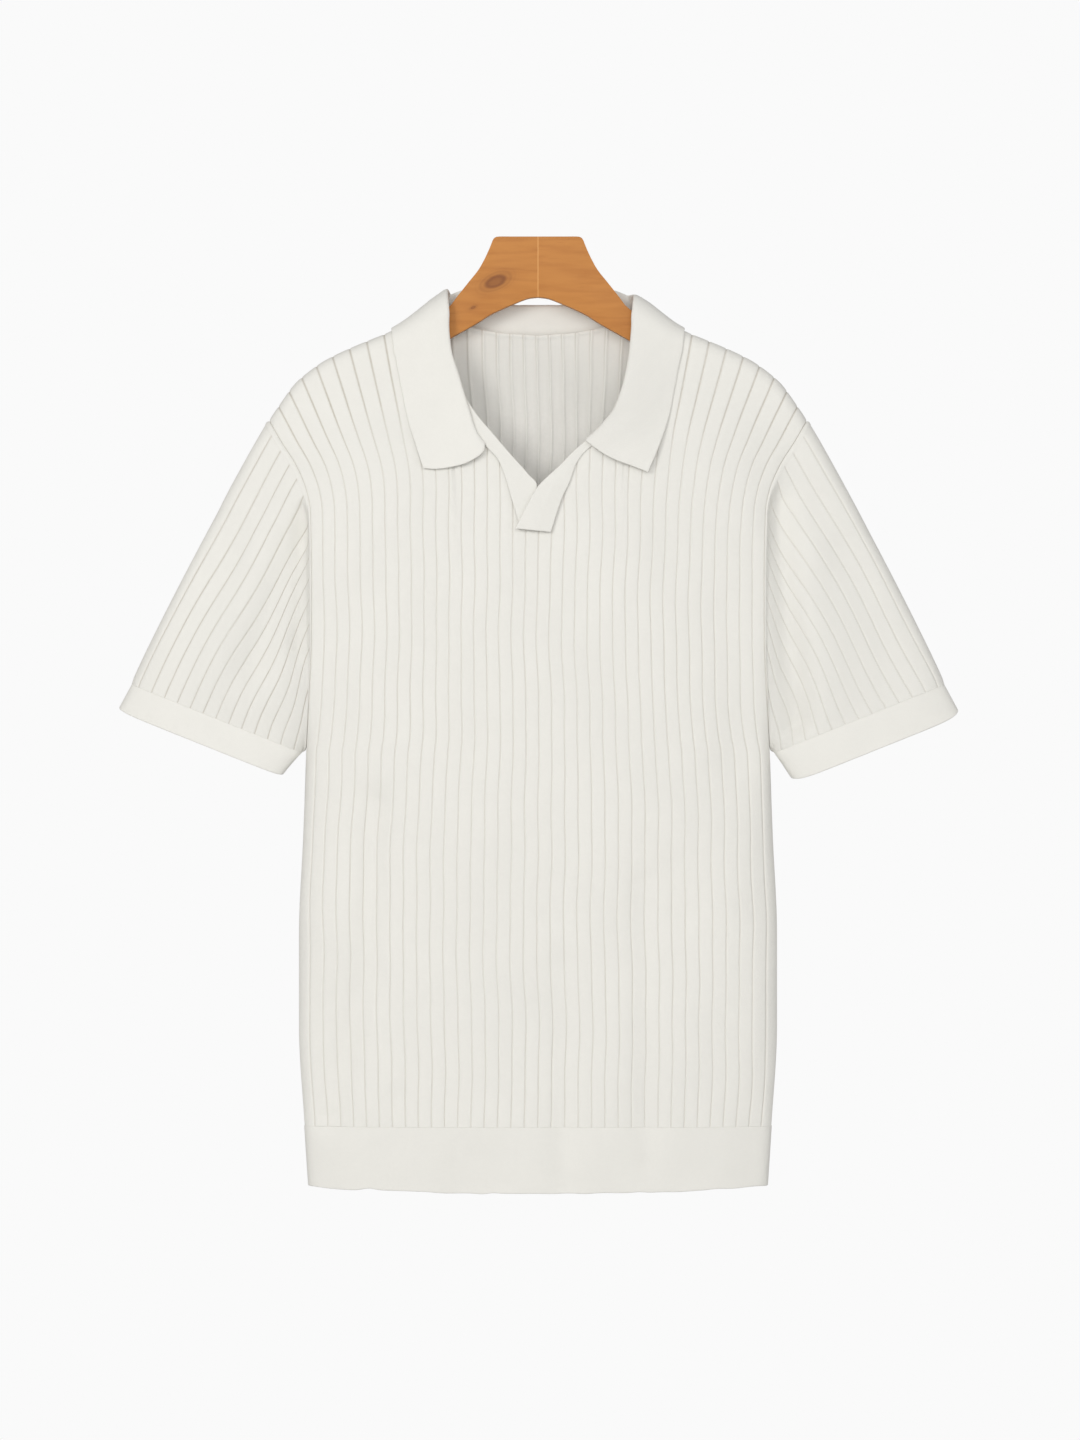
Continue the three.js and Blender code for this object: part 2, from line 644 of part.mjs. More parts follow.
// The plain band that ends a sleeve
function cuff(name, hand) {
  const surface = new Surface();
  const down = vec(CUFF.directionX, 0, CUFF.directionZ);
  const sheet = (push) =>
    roundPlaces(plainPlaces(CUFF.columns)).map(({ at, round, side }) => {
      const row = [0, 0.5, 1].map((along) => {
        const corner = round < 0.5 ? CUFF_LIFT.inner : CUFF_LIFT.outer;
        const lift = corner * Math.abs(2 * round - 1) ** CUFF_LIFT.power * along;
        const point = sleeveEnd[side](round).addScaledVector(sleeveNormal(round, 1, side), push);
        point.addScaledVector(down, mix(HALF_GAP, CUFF.height - lift, along));
        point.x *= hand;
        return surface.add(point, along);
      });
      return { at, row };
    });
  surface.close(sheet(RIB_RAISE / 2), sheet(-WALL), true);
  return surface.mesh(name, plainKnit);
}

// The plain band round the shirt's lower edge
function hemBand() {
  const surface = new Surface();
  const sheet = (push) => {
    const place = (share, side, at) => {
      const row = [0, 0.5, 1].map((along) => {
        const x = ribX(share, BAND_TOP, side);
        const bottom = BAND_BOTTOM + BAND_LIFT * share ** 2;
        const z = mix(bottom, BAND_TOP - HALF_GAP, along);
        const narrowed = x * (panelHalf(z) / panelHalf(BAND_TOP));
        const edge = Math.abs(share) === 1;
        const normal = edge ? vec(share, 0, 0) : panelNormal(share, BAND_TOP, side, []);
        const point = vec(narrowed, edge ? 0 : side * depthAt(narrowed, z, side), z);
        return surface.add(point.addScaledVector(normal, push), along);
      });
      return { at, row };
    };
    const shares = plainPlaces(BAND_COLUMNS).map(({ at }) => 2 * at - 1);
    const front = shares.slice(0, -1).map((share, i) => place(share, FRONT, i / BAND_COLUMNS / 2));
    const back = shares.slice(1).reverse();
    return [...front, ...back.map((share, i) => place(share, BACK, 0.5 + i / BAND_COLUMNS / 2))];
  };
  surface.close(sheet(RIB_RAISE / 2), sheet(-WALL), true);
  return surface.mesh("hem_band", plainKnit);
}

// The body's surface by x and the distance over the shoulder ridge, minus to the front, and back again
function ridgeDistance(x, z, side) {
  const drop = dropAt(x, z);
  const turned = Math.acos(1 - clamp(drop / RIDGE, 0, 1));
  return side * (RIDGE * turned + Math.max(drop - RIDGE, 0));
}
function overShoulder(x, over) {
  const side = over < 0 ? FRONT : BACK;
  const quarter = (RIDGE * Math.PI) / 2;
  const away = Math.abs(over);
  const drop = away < quarter ? RIDGE * (1 - Math.cos(away / RIDGE)) : RIDGE + away - quarter;
  const z = shoulderHeight(Math.abs(x)) - drop / shoulderCosine(Math.abs(x));
  return vec(x, side * depthAt(x, z, side), z);
}
function offShoulder(x, over, off) {
  const step = 0.5;
  const across = overShoulder(x + step, over).sub(overShoulder(x - step, over));
  const back = overShoulder(x, over + step).sub(overShoulder(x, over - step));
  return overShoulder(x, over).addScaledVector(across.cross(back).normalize(), off);
}

// The stations of one half of the collar as smooth functions of the way round it, from 0 at its front end
function collarCurves() {
  const rows = COLLAR.map((station, i) => {
    const { side, foldX, foldZ, seamX, seamZ, edgeX, edgeZ } = station;
    const upright = side === BACK ? Math.min(foldZ, shoulderHeight(foldX) - UPRIGHT_DROP) : foldZ;
    return {
      station: i,
      foldX,
      foldOver: ridgeDistance(foldX, upright, side),
      rise: foldZ - upright,
      seamX,
      seamOver: ridgeDistance(seamX, seamZ, side),
      edgeX,
      edgeOver: ridgeDistance(edgeX, edgeZ, side),
    };
  });
  const columns = ["foldX", "foldOver", "rise", "seamX", "seamOver", "edgeX", "edgeOver"];
  return Object.fromEntries(columns.map((column) => [column, smooth(rows, "station", column)]));
}

// The middle of the collar's wall at a station and a row of its section
function collarPoint(curves, station, row, hand) {
  const { leaf, share, extra, off } = row;
  const toX = leaf ? curves.edgeX(station) : curves.seamX(station);
  const toOver = leaf ? curves.edgeOver(station) : curves.seamOver(station);
  const runX = toX - curves.foldX(station);
  const runOver = toOver - curves.foldOver(station);
  const part = share + extra / Math.hypot(runX, runOver);
  const inside = clamp(part, 0, 1);
  const fading = (1 - inside) * ease(inside / STEEP_SHARE) * Math.exp(-station * SAG_FADE);
  const sag = leaf * END_SAG[hand] * fading;
  const over = curves.foldOver(station) + runOver * part - sag;
  const point = offShoulder(curves.foldX(station) + runX * part, over, off);
  point.z += curves.rise(station) * Math.max(1 - part * (leaf ? RISE_FADE : 1), 0);
  return point;
}

// The collar: a low stand sewn round the neck and a leaf folded over it
function collar() {
  const surface = new Surface();
  const curves = collarCurves();
  const half = COLLAR_STEPS.flatMap((steps, i) => Array.from({ length: steps }, (none, k) => i + k / steps));
  const last = COLLAR.length - 1;
  const stations = [...half.map((station) => ({ station, hand: -1 })), { station: last, hand: 1 }];
  half.toReversed().forEach((station) => stations.push({ station, hand: 1 }));
  const grid = stations.map(({ station, hand }) =>
    COLLAR_SECTION.map((row) => collarPoint(curves, station, row, hand).multiply(vec(hand, 1, 1))),
  );
  const normalAt = (i, j) => {
    const before = grid[Math.max(i - 1, 0)][j];
    const after = grid[Math.min(i + 1, grid.length - 1)][j];
    const lower = grid[i][Math.max(j - 1, 0)];
    const upper = grid[i][Math.min(j + 1, COLLAR_SECTION.length - 1)];
    return after.clone().sub(before).cross(upper.clone().sub(lower)).normalize();
  };
  const sheet = (push) =>
    grid.map((points, i) => ({
      at: i / (grid.length - 1),
      row: points.map((point, j) =>
        surface.add(point.clone().addScaledVector(normalAt(i, j), push), j / (points.length - 1)),
      ),
    }));
  surface.close(sheet(TRIM_WALL / 2), sheet(-TRIM_WALL / 2), false);
  return surface.mesh("collar", plainKnit);
}

// A strip of the neck opening, laid on the front panel
function strip(name, rows) {
  const surface = new Surface();
  const sheet = (push) =>
    rows.map((line, i) => ({
      at: i / (rows.length - 1),
      row: STRIP_SHARES.map((share) => {
        const x = mix(line.innerX, line.outerX, share);
        const z = mix(line.innerZ, line.outerZ, share);
        const off = mix(line.off, TRIM_CLEAR, clamp(2 * share - 1, 0, 1));
        return surface.add(offShoulder(x, ridgeDistance(x, z, FRONT), off + push), share);
      }),
    }));
  surface.close(sheet(TRIM_WALL / 2), sheet(-TRIM_WALL / 2), false);
  return surface.mesh(name, plainKnit);
}

// One half of the hanger, a shaped board with eased edges
function hangerHalf(name, hand) {
  const shape = new THREE.Shape();
  const at = (row) => new THREE.Vector2(hand * row.x, row.z);
  shape.moveTo(hand * HALF_GAP, 0);
  shape.lineTo(hand * (HANGER_TOP_HALF - HANGER_CORNER), 0);
  shape.quadraticCurveTo(hand * HANGER_TOP_HALF, 0, hand * HANGER_SIDE[0].x, HANGER_SIDE[0].z);
  shape.splineThru(HANGER_SIDE.slice(1).map(at));
  const { x, z, radius } = HANGER_TIP;
  shape.quadraticCurveTo(hand * (x + radius), z + radius / 3, hand * x, z);
  shape.quadraticCurveTo(hand * (x - radius / 2), z - radius, hand * HANGER_ARCH[0].x, HANGER_ARCH[0].z);
  shape.splineThru(HANGER_ARCH.slice(1, -1).map(at));
  shape.lineTo(hand * HALF_GAP, HANGER_ARCH[HANGER_ARCH.length - 1].z);
  const geometry = new THREE.ExtrudeGeometry(shape, {
    depth: HANGER_DEPTH - 2 * HANGER_EDGE,
    curveSegments: 3,
    bevelEnabled: true,
    bevelThickness: HANGER_EDGE,
    bevelSize: HANGER_EDGE,
    bevelOffset: -HANGER_EDGE,
    bevelSegments: 2,
  });
  geometry.translate(0, 0, HANGER_EDGE - HANGER_DEPTH / 2);
  geometry.rotateX(Math.PI / 2);
  const mesh = new THREE.Mesh(geometry, wood);
  mesh.name = name;
  return mesh;
}

const shirt = new THREE.Group();
shirt.add(panel("front_panel", FRONT, FRONT_FOLDS));
shirt.add(panel("back_panel", BACK, BACK_FOLDS));
shirt.add(sleeve("sleeve_left", -1, LEFT_SLEEVE_FOLDS));
shirt.add(sleeve("sleeve_right", 1, RIGHT_SLEEVE_FOLDS));
shirt.add(cuff("cuff_left", -1));
shirt.add(cuff("cuff_right", 1));
shirt.add(hemBand());
shirt.add(collar());
shirt.add(strip("placket_under", UNDER_STRIP));
shirt.add(strip("placket_over", OVER_STRIP));

const hanger = new THREE.Group();
hanger.add(hangerHalf("hanger_half_left", -1));
hanger.add(hangerHalf("hanger_half_right", 1));

const polo = new THREE.Group();
polo.add(shirt, hanger);

export default polo;
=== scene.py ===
"""The looks of a short-sleeved polo shirt in wide-rib knit, hanging on a plain wooden hanger."""

import math

import bpy
import numpy as np
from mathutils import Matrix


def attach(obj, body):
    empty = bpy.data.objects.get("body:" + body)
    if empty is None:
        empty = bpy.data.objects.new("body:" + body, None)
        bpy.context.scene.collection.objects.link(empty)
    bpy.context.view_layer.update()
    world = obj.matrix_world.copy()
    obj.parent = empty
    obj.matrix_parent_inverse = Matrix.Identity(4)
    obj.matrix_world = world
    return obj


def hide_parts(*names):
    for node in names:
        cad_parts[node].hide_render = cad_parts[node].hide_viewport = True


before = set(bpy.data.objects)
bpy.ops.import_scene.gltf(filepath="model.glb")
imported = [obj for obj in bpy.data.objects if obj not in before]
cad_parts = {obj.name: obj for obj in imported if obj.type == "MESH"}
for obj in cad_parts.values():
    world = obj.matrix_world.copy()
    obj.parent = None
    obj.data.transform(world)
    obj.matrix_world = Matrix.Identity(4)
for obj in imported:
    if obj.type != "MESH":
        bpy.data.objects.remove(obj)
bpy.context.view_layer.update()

bl_info = {
    "name": "Ribbed polo shirt on a hanger",
    "version": (1, 0, 0),
    "blender": (4, 5, 0),
    "location": "View3D > Sidebar > Polo shirt",
    "description": "Models the knitted pieces of a polo shirt and its wooden hanger",
    "category": "Object",
}

# The tables below are in millimetres, +Z up from the hanger's top, with the shirt's front facing -Y
MM = 0.001
FRONT = -1
BACK = 1
SIDES = (FRONT, BACK)

# The garment's main heights and how its seams lie
UNDERARM = -410.0
SHOULDER_TIP = -148.0
BAND_TOP = -713.6
BAND_BOTTOM = -767.0
BAND_LIFT = 5.0
TOUCH = 0.03
TRIM_WALL = 1.8
TRIM_CLEAR = 2.4

PANEL_RIBS = 36
SLEEVE_RIBS = 14

# How square the flattened tube's section is, and the round ridge over the hanger and how it spreads below
FULLNESS = 2.6
RIDGE = 11.0
RIDGE_SPREAD = 110.0
# Folds fade out over this far from the side seams, and from this far to this much further below the shoulder
SEAM_CALM = 18
SHOULDER_CALM = (14, 60)

# Across one rib from the middle of a groove: the share of the way, the share of the rib's height outside, of
# the ridge's height inside, and how light the painted shade leaves the inside there
RIB_PROFILE = (
    (0.0, 0.0, 1.0, 1.0),
    (0.03, 0.2, 0.95, 1.0),
    (0.06, 0.66, 0.8, 1.0),
    (0.1, 0.86, 0.35, 0.75),
    (0.2, 0.96, 0.0, 0.85),
    (0.5, 1.0, 0.08, 1.0),
    (0.8, 0.96, 0.0, 0.75),
    (0.9, 0.86, 0.3, 0.3),
    (0.94, 0.66, 0.75, 0.6),
    (0.97, 0.2, 0.95, 1.0),
)

# Height, half width at the side seam or armhole, where the flattened tube would close, front and back depth
BODY = (
    (-767, 184, 184, 25, 22),
    (-713, 187.5, 187.5, 27, 24),
    (-634, 192, 192, 29, 25),
    (-560, 192, 192, 30, 26),
    (-480, 188.5, 188.5, 31, 26),
    (-410, 186, 186, 32, 27),
    (-370, 183.5, 196, 32, 27),
    (-324, 181.3, 214, 32, 27),
    (-276, 181, 240, 31, 27),
    (-220, 182.3, 275, 30, 27),
    (-204, 185.5, 285, 30, 27),
    (-185, 193.5, 297, 30, 27),
    (-165, 206, 312, 30, 27),
    (-148, 216, 325, 30, 27),
    (-100, 246, 335, 30, 27),
    (0, 308, 350, 30, 27),
)
# Above the chest the ribs fan out to the shoulder: how wide they lie without that, and how it grows outwards
FAN = {"from_z": -220, "half": 182.3, "power": 2.1}
# How much of the way round the cloth's depth the ribs' spacing follows
DEPTH_SHARE = 0.35

# The shoulder line: distance from the middle and height
SHOULDER = (
    (0, -22),
    (12, -23),
    (24, -26.6),
    (40, -33),
    (72, -50),
    (116, -75),
    (140, -85),
    (154, -91),
    (172, -100),
    (186, -110),
    (195, -118),
    (206, -133),
    (216, -148),
    (250, -210),
)

# The cut edges of the panels under the collar and the neck strips: x and height
NECK_SIDE = (
    (40, -167),
    (52, -158),
    (66, -140),
    (74, -117),
    (76.5, -98),
    (77, -53),
)
FRONT_NECK = (
    *((-x, z) for x, z in reversed(NECK_SIDE)),
    (-29, -175),
    (-22, -199),
    (-15, -222),
    (-12, -232),
    (5, -232),
    (8, -226),
    (24, -194),
    (32, -175),
    *NECK_SIDE,
)
BACK_NECK_SIDE = (
    (30, -76),
    (50, -72.5),
    (66, -68),
    (74.5, -62.5),
    (77, -53),
)
BACK_NECK = (
    *((-x, z) for x, z in reversed(BACK_NECK_SIDE)),
    (0, -78),
    *BACK_NECK_SIDE,
)

# Soft troughs in the hanging cloth: width, depth and the line each runs along as x and height
FRONT_FOLDS = (
    (13, 5.8, ((-131, -455), (-137, -590), (-166, -705))),
    (12, 3.2, ((18, -585), (22, -760))),
    (12, 3.6, ((84, -520), (88, -740))),
    (9, 2.2, ((104, -505), (116, -545))),
    (11, 1.8, ((-70, -640), (-64, -770))),
    (9, 2.2, ((-112, -690), (-118, -770))),
    (16, 2.2, ((150, -300), (158, -420))),
    (16, 2.0, ((-150, -290), (-156, -400))),
)
BACK_FOLDS = (
    (14, 3.0, ((120, -440), (132, -740))),
    (12, 2.6, ((-20, -560), (-14, -750))),
    (13, 2.8, ((-104, -500), (-118, -740))),
    (11, 1.8, ((60, -620), (64, -770))),
    (16, 2.4, ((-150, -260), (-158, -400))),
    (15, 2.2, ((148, -280), (156, -420))),
)
LEFT_SLEEVE_FOLDS = (
    (14, 7.5, ((193, -236), (228, -345))),
    (9, 7.0, ((188, -222), (192, -330))),
    (13, -1.6, ((222, -240), (262, -352))),
    (13, 1.4, ((250, -230), (282, -320))),
)
RIGHT_SLEEVE_FOLDS = (
    (12, 9.5, ((194, -214), (200, -308), (208, -402))),
    (13, -1.8, ((221, -250), (232, -400))),
    (14, 1.4, ((250, -250), (276, -330))),
)

# Half the hem's width, and small dents in its lower edge: x, width and height
HEM_HALF = 190
HEM_DENTS = (
    (-146, 9, 1.1),
    (-83, 7, 0.8),
    (-29, 11, 0.7),
    (37, 6, 1.0),
    (92, 10, 0.8),
    (139, 6, 1.2),
)

# Slow swells of the cloth: how high, waves along x and z in turns to the metre, and where they start
SWELLS = (
    (0.55, 5.1, 1.7, 0.3),
    (0.45, -8.3, 2.9, 1.9),
    (0.35, 12.7, -4.1, 4.2),
    (0.3, 3.7, 7.3, 2.6),
    (0.22, 19.0, 5.3, 0.9),
)
DRIFTS = (
    (0.75, 1.3, 4.3, 0.5),
    (0.5, -2.9, 8.1, 2.2),
    (0.3, 4.7, 15.0, 4.0),
)

SLEEVE_END = {"inner_x": 190, "inner_z": -414, "outer_x": 326, "outer_z": -359.5, "depth": 17}
BOW = {"reach": 3.2, "direction": (0.884, 0, 0.467)}
CUFF = {"direction": (0.463, 0, -0.886), "along": (0.92, 0, 0.39), "power": 9}
CUFF_HEIGHT = {-1: 24.0, 1: 28.5}
CUFF_INSET = {-1: 8.5, 1: 4.0}
CUFF_LIFT = {-1: (2.5, 3.0), 1: (6.5, 6.0)}

# Where the sleeve's ribs start on the armhole: share of the way round the cuff, and round the armhole
SLEEVE_RIB_STARTS = (
    (0, 0),
    (0.06, 0.17),
    (0.12, 0.29),
    (0.21, 0.38),
    (0.29, 0.456),
    (0.37, 0.52),
    (0.465, 0.595),
    (0.535, 0.645),
    (0.61, 0.71),
    (0.66, 0.755),
    (0.757, 0.825),
    (0.84, 0.88),
    (1, 1),
)

# The collar from its front end to the middle of the back neck: side, then x and height of the fold, of the
# sewn edge and of the leaf's free edge. Its two front ends lie differently
COLLAR_ENDS = {
    -1: (
        (FRONT, 42.4, -168, 50, -175, 91.4, -187.4),
        (FRONT, 49.5, -158, 57, -164, 97, -170),
        (FRONT, 55, -141, 63, -145, 104, -148),
        (FRONT, 62.8, -115, 71, -118, 110, -120),
        (FRONT, 70, -90, 79.5, -91, 114, -99),
        (FRONT, 71.8, -70, 81.5, -74, 116, -90),
        (FRONT, 71, -50.5, 81, -56, 117, -75.4),
    ),
    1: (
        (FRONT, 38, -165, 46, -172, 87.5, -190.7),
        (FRONT, 52, -151.5, 60, -157, 97, -168),
        (FRONT, 61.8, -138, 69, -142, 105, -144),
        (FRONT, 70, -112, 77.5, -115, 110, -119),
        (FRONT, 74, -87, 82.5, -89, 114, -99),
        (FRONT, 75.4, -68, 84, -73, 116, -90),
        (FRONT, 75, -50, 83.5, -56, 117, -75.4),
    ),
}
COLLAR_ROUND = (
    (BACK, 70.6, -46.5, 80, -68, 114, -92),
    (BACK, 62, -43, 70, -72, 103, -107),
    (BACK, 44, -47, 52, -78, 76, -115),
    (BACK, 22, -54, 27, -82, 38, -117),
    (BACK, 11, -54.9, 13.5, -83.4, 19, -117.7),
    (BACK, 0, -55, 0, -83.8, 0, -118),
)
UPRIGHT_DROP = 12
# How far the leaf's front edge drops beside the fold, how far it bows below the straight line to its tip,
# and how far the tip stands off
END_SAG = {-1: 5.0, 1: 0.3}
END_BOW = {-1: 16.0, 1: 6.0}
END_LIFT = {-1: 2.4, 1: 4.2}
STEEP_SHARE = 0.03
SAG_FADE = 2
LIFT_FADE = 1.9
RISE_FADE = 1.6

# Across the collar from its sewn edge to its free edge: whether it is on the leaf, the share of the way from
# the fold, the millimetres added to that, and how far it stands off the panel
COLLAR_SECTION = (
    (0, 1, 0, 2.8),
    (0, 0.5, 0.8, 3.0),
    (0, 0, 1.9, 3.1),
    (1, 0, 0, 4.5),
    (1, 0, 1.9, 5.9),
    (1, 0.25, 1, 5.7),
    (1, 0.5, 0, 4.3),
    (1, 0.78, 0, 2.5),
    (1, 1, 0, 1.75),
)

# The strips of the neck opening from the collar's end down: x and height of the free and of the sewn edge,
# and how far the free edge stands off the panel
UNDER_STRIP = (
    (-63, -118, -68, -122, 1.2),
    (-57, -131, -61.5, -138, 1.6),
    (-48.4, -144.5, -51.5, -155, 2.0),
    (-38.2, -156.6, -42.5, -168.5, 2.4),
    (-24, -173.3, -31.8, -180.5, 2.4),
    (-8.3, -191, -25.6, -196, 2.4),
    (-0.6, -201.8, -21.5, -210, 2.4),
    (-3, -231, -15, -232, 2.4),
)
OVER_STRIP = (
    (46, -158, 45, -167.5, 1.4),
    (36, -166.7, 35.5, -176, 2.6),
    (28.6, -173.2, 29.3, -186, 3.0),
    (16.6, -185.5, 25.5, -197.5, 3.6),
    (0, -201.6, 20.4, -208, 4.6),
    (-8.5, -216, 15.5, -221.5, 4.8),
    (-18, -235.4, 10.3, -238.2, 4.8),
)

# The hanger's upper and lower outline, paired from its middle to its tip
HANGER_STATIONS = (
    (0, 0, 0, -48.5),
    (10, 0, 9, -49.8),
    (21, 0, 21, -54.6),
    (31, 0, 30, -58.6),
    (34.2, -0.6, 33.5, -60.2),
    (36.1, -2.5, 36, -61.4),
    (37.3, -5.4, 38.3, -62.7),
    (39.6, -11, 41.3, -64.4),
    (43, -18.2, 45, -66.9),
    (48, -27, 50, -70),
    (56, -37, 57, -74),
    (64, -47, 66, -79),
    (74, -58.7, 75, -84.2),
    (95, -69, 92, -94),
    (116, -79.8, 112, -104.4),
    (140, -90, 136, -117),
    (160, -98.8, 156, -126.2),
    (176, -107.6, 170, -132.4),
    (184, -113.6, 176.5, -135),
    (189.4, -119.4, 181.5, -135),
    (190.2, -124, 185.5, -130.5),
)
HANGER_DEPTH = 12.0
HANGER_OVERRUN = 8.0
ARM_SLOPE = 24
BEVEL_STEPS = 5
SHARP_ANGLE = 50
WOOD_SMOOTH_ANGLE = 40


def length(name, description, default, low, high):
    """A setting that is a length."""
    return bpy.props.FloatProperty(
        name=name, description=description, default=default, min=low, max=high, unit="LENGTH"
    )


def colour_of(name, description, default):
    """A setting that is a colour."""
    return bpy.props.FloatVectorProperty(
        name=name, description=description, default=default, min=0.0, max=1.0, subtype="COLOR"
    )


class KnitSettings(bpy.types.PropertyGroup):
    """Sizes and colours of the knitted cloth"""

    wall: length("Wall", "Thickness of the cloth under its ribs", 0.0016, 0.001, 0.003)
    rib_height: length("Rib height", "How far the ribs stand above the grooves", 0.00068, 0.0, 0.002)
    seam_height: length("Seam height", "How far the armhole seam stands up", 0.001, 0.0, 0.002)
    stitch_width: length("Stitch width", "Width of one knitted stitch", 0.0013, 0.0005, 0.005)
    stitch_height: length("Stitch height", "Height of one knitted stitch", 0.001, 0.0005, 0.005)
    colour: colour_of("Cloth", "Colour of the yarn", (0.83, 0.818, 0.772))
    # Painted shade: the colour that the grooves, the inside's hollows and the collar's underside are
    # darkened towards
    painted_shade_colour: colour_of("Hollows", "Colour down between the ribs", (0.5, 0.46, 0.39))
    # Painted light: the colour that the inside of the back is brightened towards where it shows in the neck
    painted_light_colour: colour_of("Inside", "Colour of the yarn inside the neck", (0.97, 0.955, 0.91))


class WoodSettings(bpy.types.PropertyGroup):
    """Sizes and colours of the hanger"""

    edge: length("Edge rounding", "Width of the rounding along the edges", 0.0026, 0.0005, 0.005)
    colour: colour_of("Wood", "Colour of the wood between its grain", (0.52, 0.212, 0.045))
    grain_colour: colour_of("Grain", "Colour of the dark grain", (0.40, 0.142, 0.028))
    knot_colour: colour_of("Knot", "Colour of the knot", (0.15, 0.04, 0.012))


class StageSettings(bpy.types.PropertyGroup):
    """Camera, lights and floor"""

    distance: length("Camera distance", "From the camera to the shirt", 4.6, 1.0, 20.0)
    view_height: length("View height", "Height of the view at the shirt", 1.152, 0.5, 5.0)
    key: bpy.props.FloatProperty(
        name="Key light",
        description="Power of the light at the upper left",
        default=33.0,
        min=0.0,
        unit="POWER",
    )
    surround: bpy.props.FloatProperty(
        name="Surround", description="Strength of the light from all round", default=0.46, min=0.0
    )
    backdrop: colour_of("Backdrop", "Colour behind the shirt", (0.956, 0.956, 0.956))


# Curves and surfaces


def ease(share):
    """A smooth step from 0 to 1."""
    t = np.clip(share, 0, 1)
    return t * t * (3 - 2 * t)


def near(distance, width, power=2):
    """1 at no distance, fading to nothing over a few widths."""
    return np.exp(-((distance / width) ** power))


def smooth(keys, values):
    """A smooth curve through the values that never overshoots one."""
    keys, values = np.asarray(keys, float), np.asarray(values, float)
    steps = np.diff(values) / np.diff(keys)
    before, after = np.append(steps[:1], steps), np.append(steps, steps[-1:])
    product = before * after
    total = np.where(product > 0, before + after, 1)
    slopes = np.where(product > 0, 2 * product / total, 0)

    def value(at):
        at = np.asarray(at, float)
        i = np.clip(np.searchsorted(keys, at, side="left") - 1, 0, len(keys) - 2)
        width = keys[i + 1] - keys[i]
        t = np.clip((at - keys[i]) / width, 0, 1)
        rise = values[i + 1] - values[i]
        bend = (slopes[i] * width - rise) * (1 - t) + (rise - slopes[i + 1] * width) * t
        return values[i] + rise * t + bend * t * (1 - t)

    return value


def straight(rows):
    """The values of a two-column table joined by straight lines."""
    keys, values = np.array(rows, float).T
    return lambda at: np.interp(at, keys, values)


def point(x, y, z):
    """Points from their coordinates, which may be arrays."""
    return np.stack(np.broadcast_arrays(np.asarray(x, float), y, z), -1)


def unit(vectors):
    """Vectors of length one."""
    return vectors / np.maximum(np.linalg.norm(vectors, axis=-1, keepdims=True), 1e-12)


def evenly(points):
    """Points at even shares of the way along a line, as a function of the share."""
    run = np.append(0, np.cumsum(np.linalg.norm(np.diff(points, axis=0), axis=1)))

    def at(share):
        want = np.clip(share, 0, 1) * run[-1]
        return np.stack([np.interp(want, run, points[:, axis]) for axis in range(3)], -1)

    return at


def waves(table, x, z):
    """The sum of slow waves over the front view."""
    turn = 2 * math.pi * MM
    total = 0
    for high, along_x, along_z, start in table:
        total = total + high * np.sin(turn * (along_x * x + along_z * z) + start)
    return total


def distance_to(line, x, z):
    """How far points of the front view are from a line through points."""
    nearest = np.full(np.broadcast(x, z).shape, np.inf)
    for (start_x, start_z), (end_x, end_z) in zip(line, line[1:]):
        run_x, run_z = end_x - start_x, end_z - start_z
        t = np.clip(((x - start_x) * run_x + (z - start_z) * run_z) / (run_x**2 + run_z**2), 0, 1)
        nearest = np.minimum(nearest, np.hypot(x - start_x - t * run_x, z - start_z - t * run_z))
    return nearest


def fold_at(folds, x, z):
    """How far the folds of a table push the cloth in at points of the front view."""
    return sum(depth * near(distance_to(line, x, z), width) for width, depth, line in folds)


BODY_Z, BODY_HALF, BODY_REACH, BODY_FRONT, BODY_BACK = np.array(BODY, float).T
panel_half = smooth(BODY_Z, BODY_HALF)
body_reach = smooth(BODY_Z, BODY_REACH)
full_depth = {FRONT: smooth(BODY_Z, BODY_FRONT), BACK: smooth(BODY_Z, BODY_BACK)}
shoulder_height = smooth(*np.array(SHOULDER, float).T)
neck_height = {FRONT: straight(FRONT_NECK), BACK: straight(BACK_NECK)}
NECK_END = FRONT_NECK[-1][0]
BODY_FOLDS = {FRONT: FRONT_FOLDS, BACK: BACK_FOLDS}


def shoulder_cosine(x):
    """How steep the shoulder line is, as the cosine of its angle."""
    step = 2.0
    slope = (shoulder_height(x + step) - shoulder_height(np.maximum(x - step, 0))) / (2 * step)
    return 1 / np.hypot(1, slope)


def drop_at(x, z):
    """How far a point of the front view lies below the shoulder line, square to it."""
    return np.maximum(shoulder_height(np.abs(x)) - z, 0) * shoulder_cosine(np.abs(x))


def depth_at(x, z, side):
    """How far the cloth stands from the middle plane before it folds."""
    share = np.clip(np.abs(x) / body_reach(z), 0, 1)
    section = (1 - share**FULLNESS) ** (1 / FULLNESS)
    drop = drop_at(x, z)
    turned = np.sqrt(1 - (1 - np.clip(drop / RIDGE, 0, 1)) ** 2)
    spread = ease((drop - RIDGE) / RIDGE_SPREAD)
    return section * (RIDGE * turned + (full_depth[side](z) - RIDGE) * spread)


def inside_seams(x, z):
    """0 on the side seams, armholes and shoulders, and 1 away from them."""
    below, over = SHOULDER_CALM
    return ease((panel_half(z) - np.abs(x)) / SEAM_CALM) * ease((drop_at(x, z) - below) / over)


def hung_depth(x, z, side):
    """How far the hanging cloth stands from the middle plane, with its folds and swells."""
    moved = fold_at(BODY_FOLDS[side], x, z) + waves(SWELLS, side * x + 90 * side, z)
    return np.maximum(depth_at(x, z, side) - inside_seams(x, z) * moved, TOUCH)


TABLE_STEP = 4.0
TABLE_SHARES = np.linspace(0, 1, 121)
TABLE_HEIGHTS = np.arange(BAND_BOTTOM - 1, 4, TABLE_STEP)


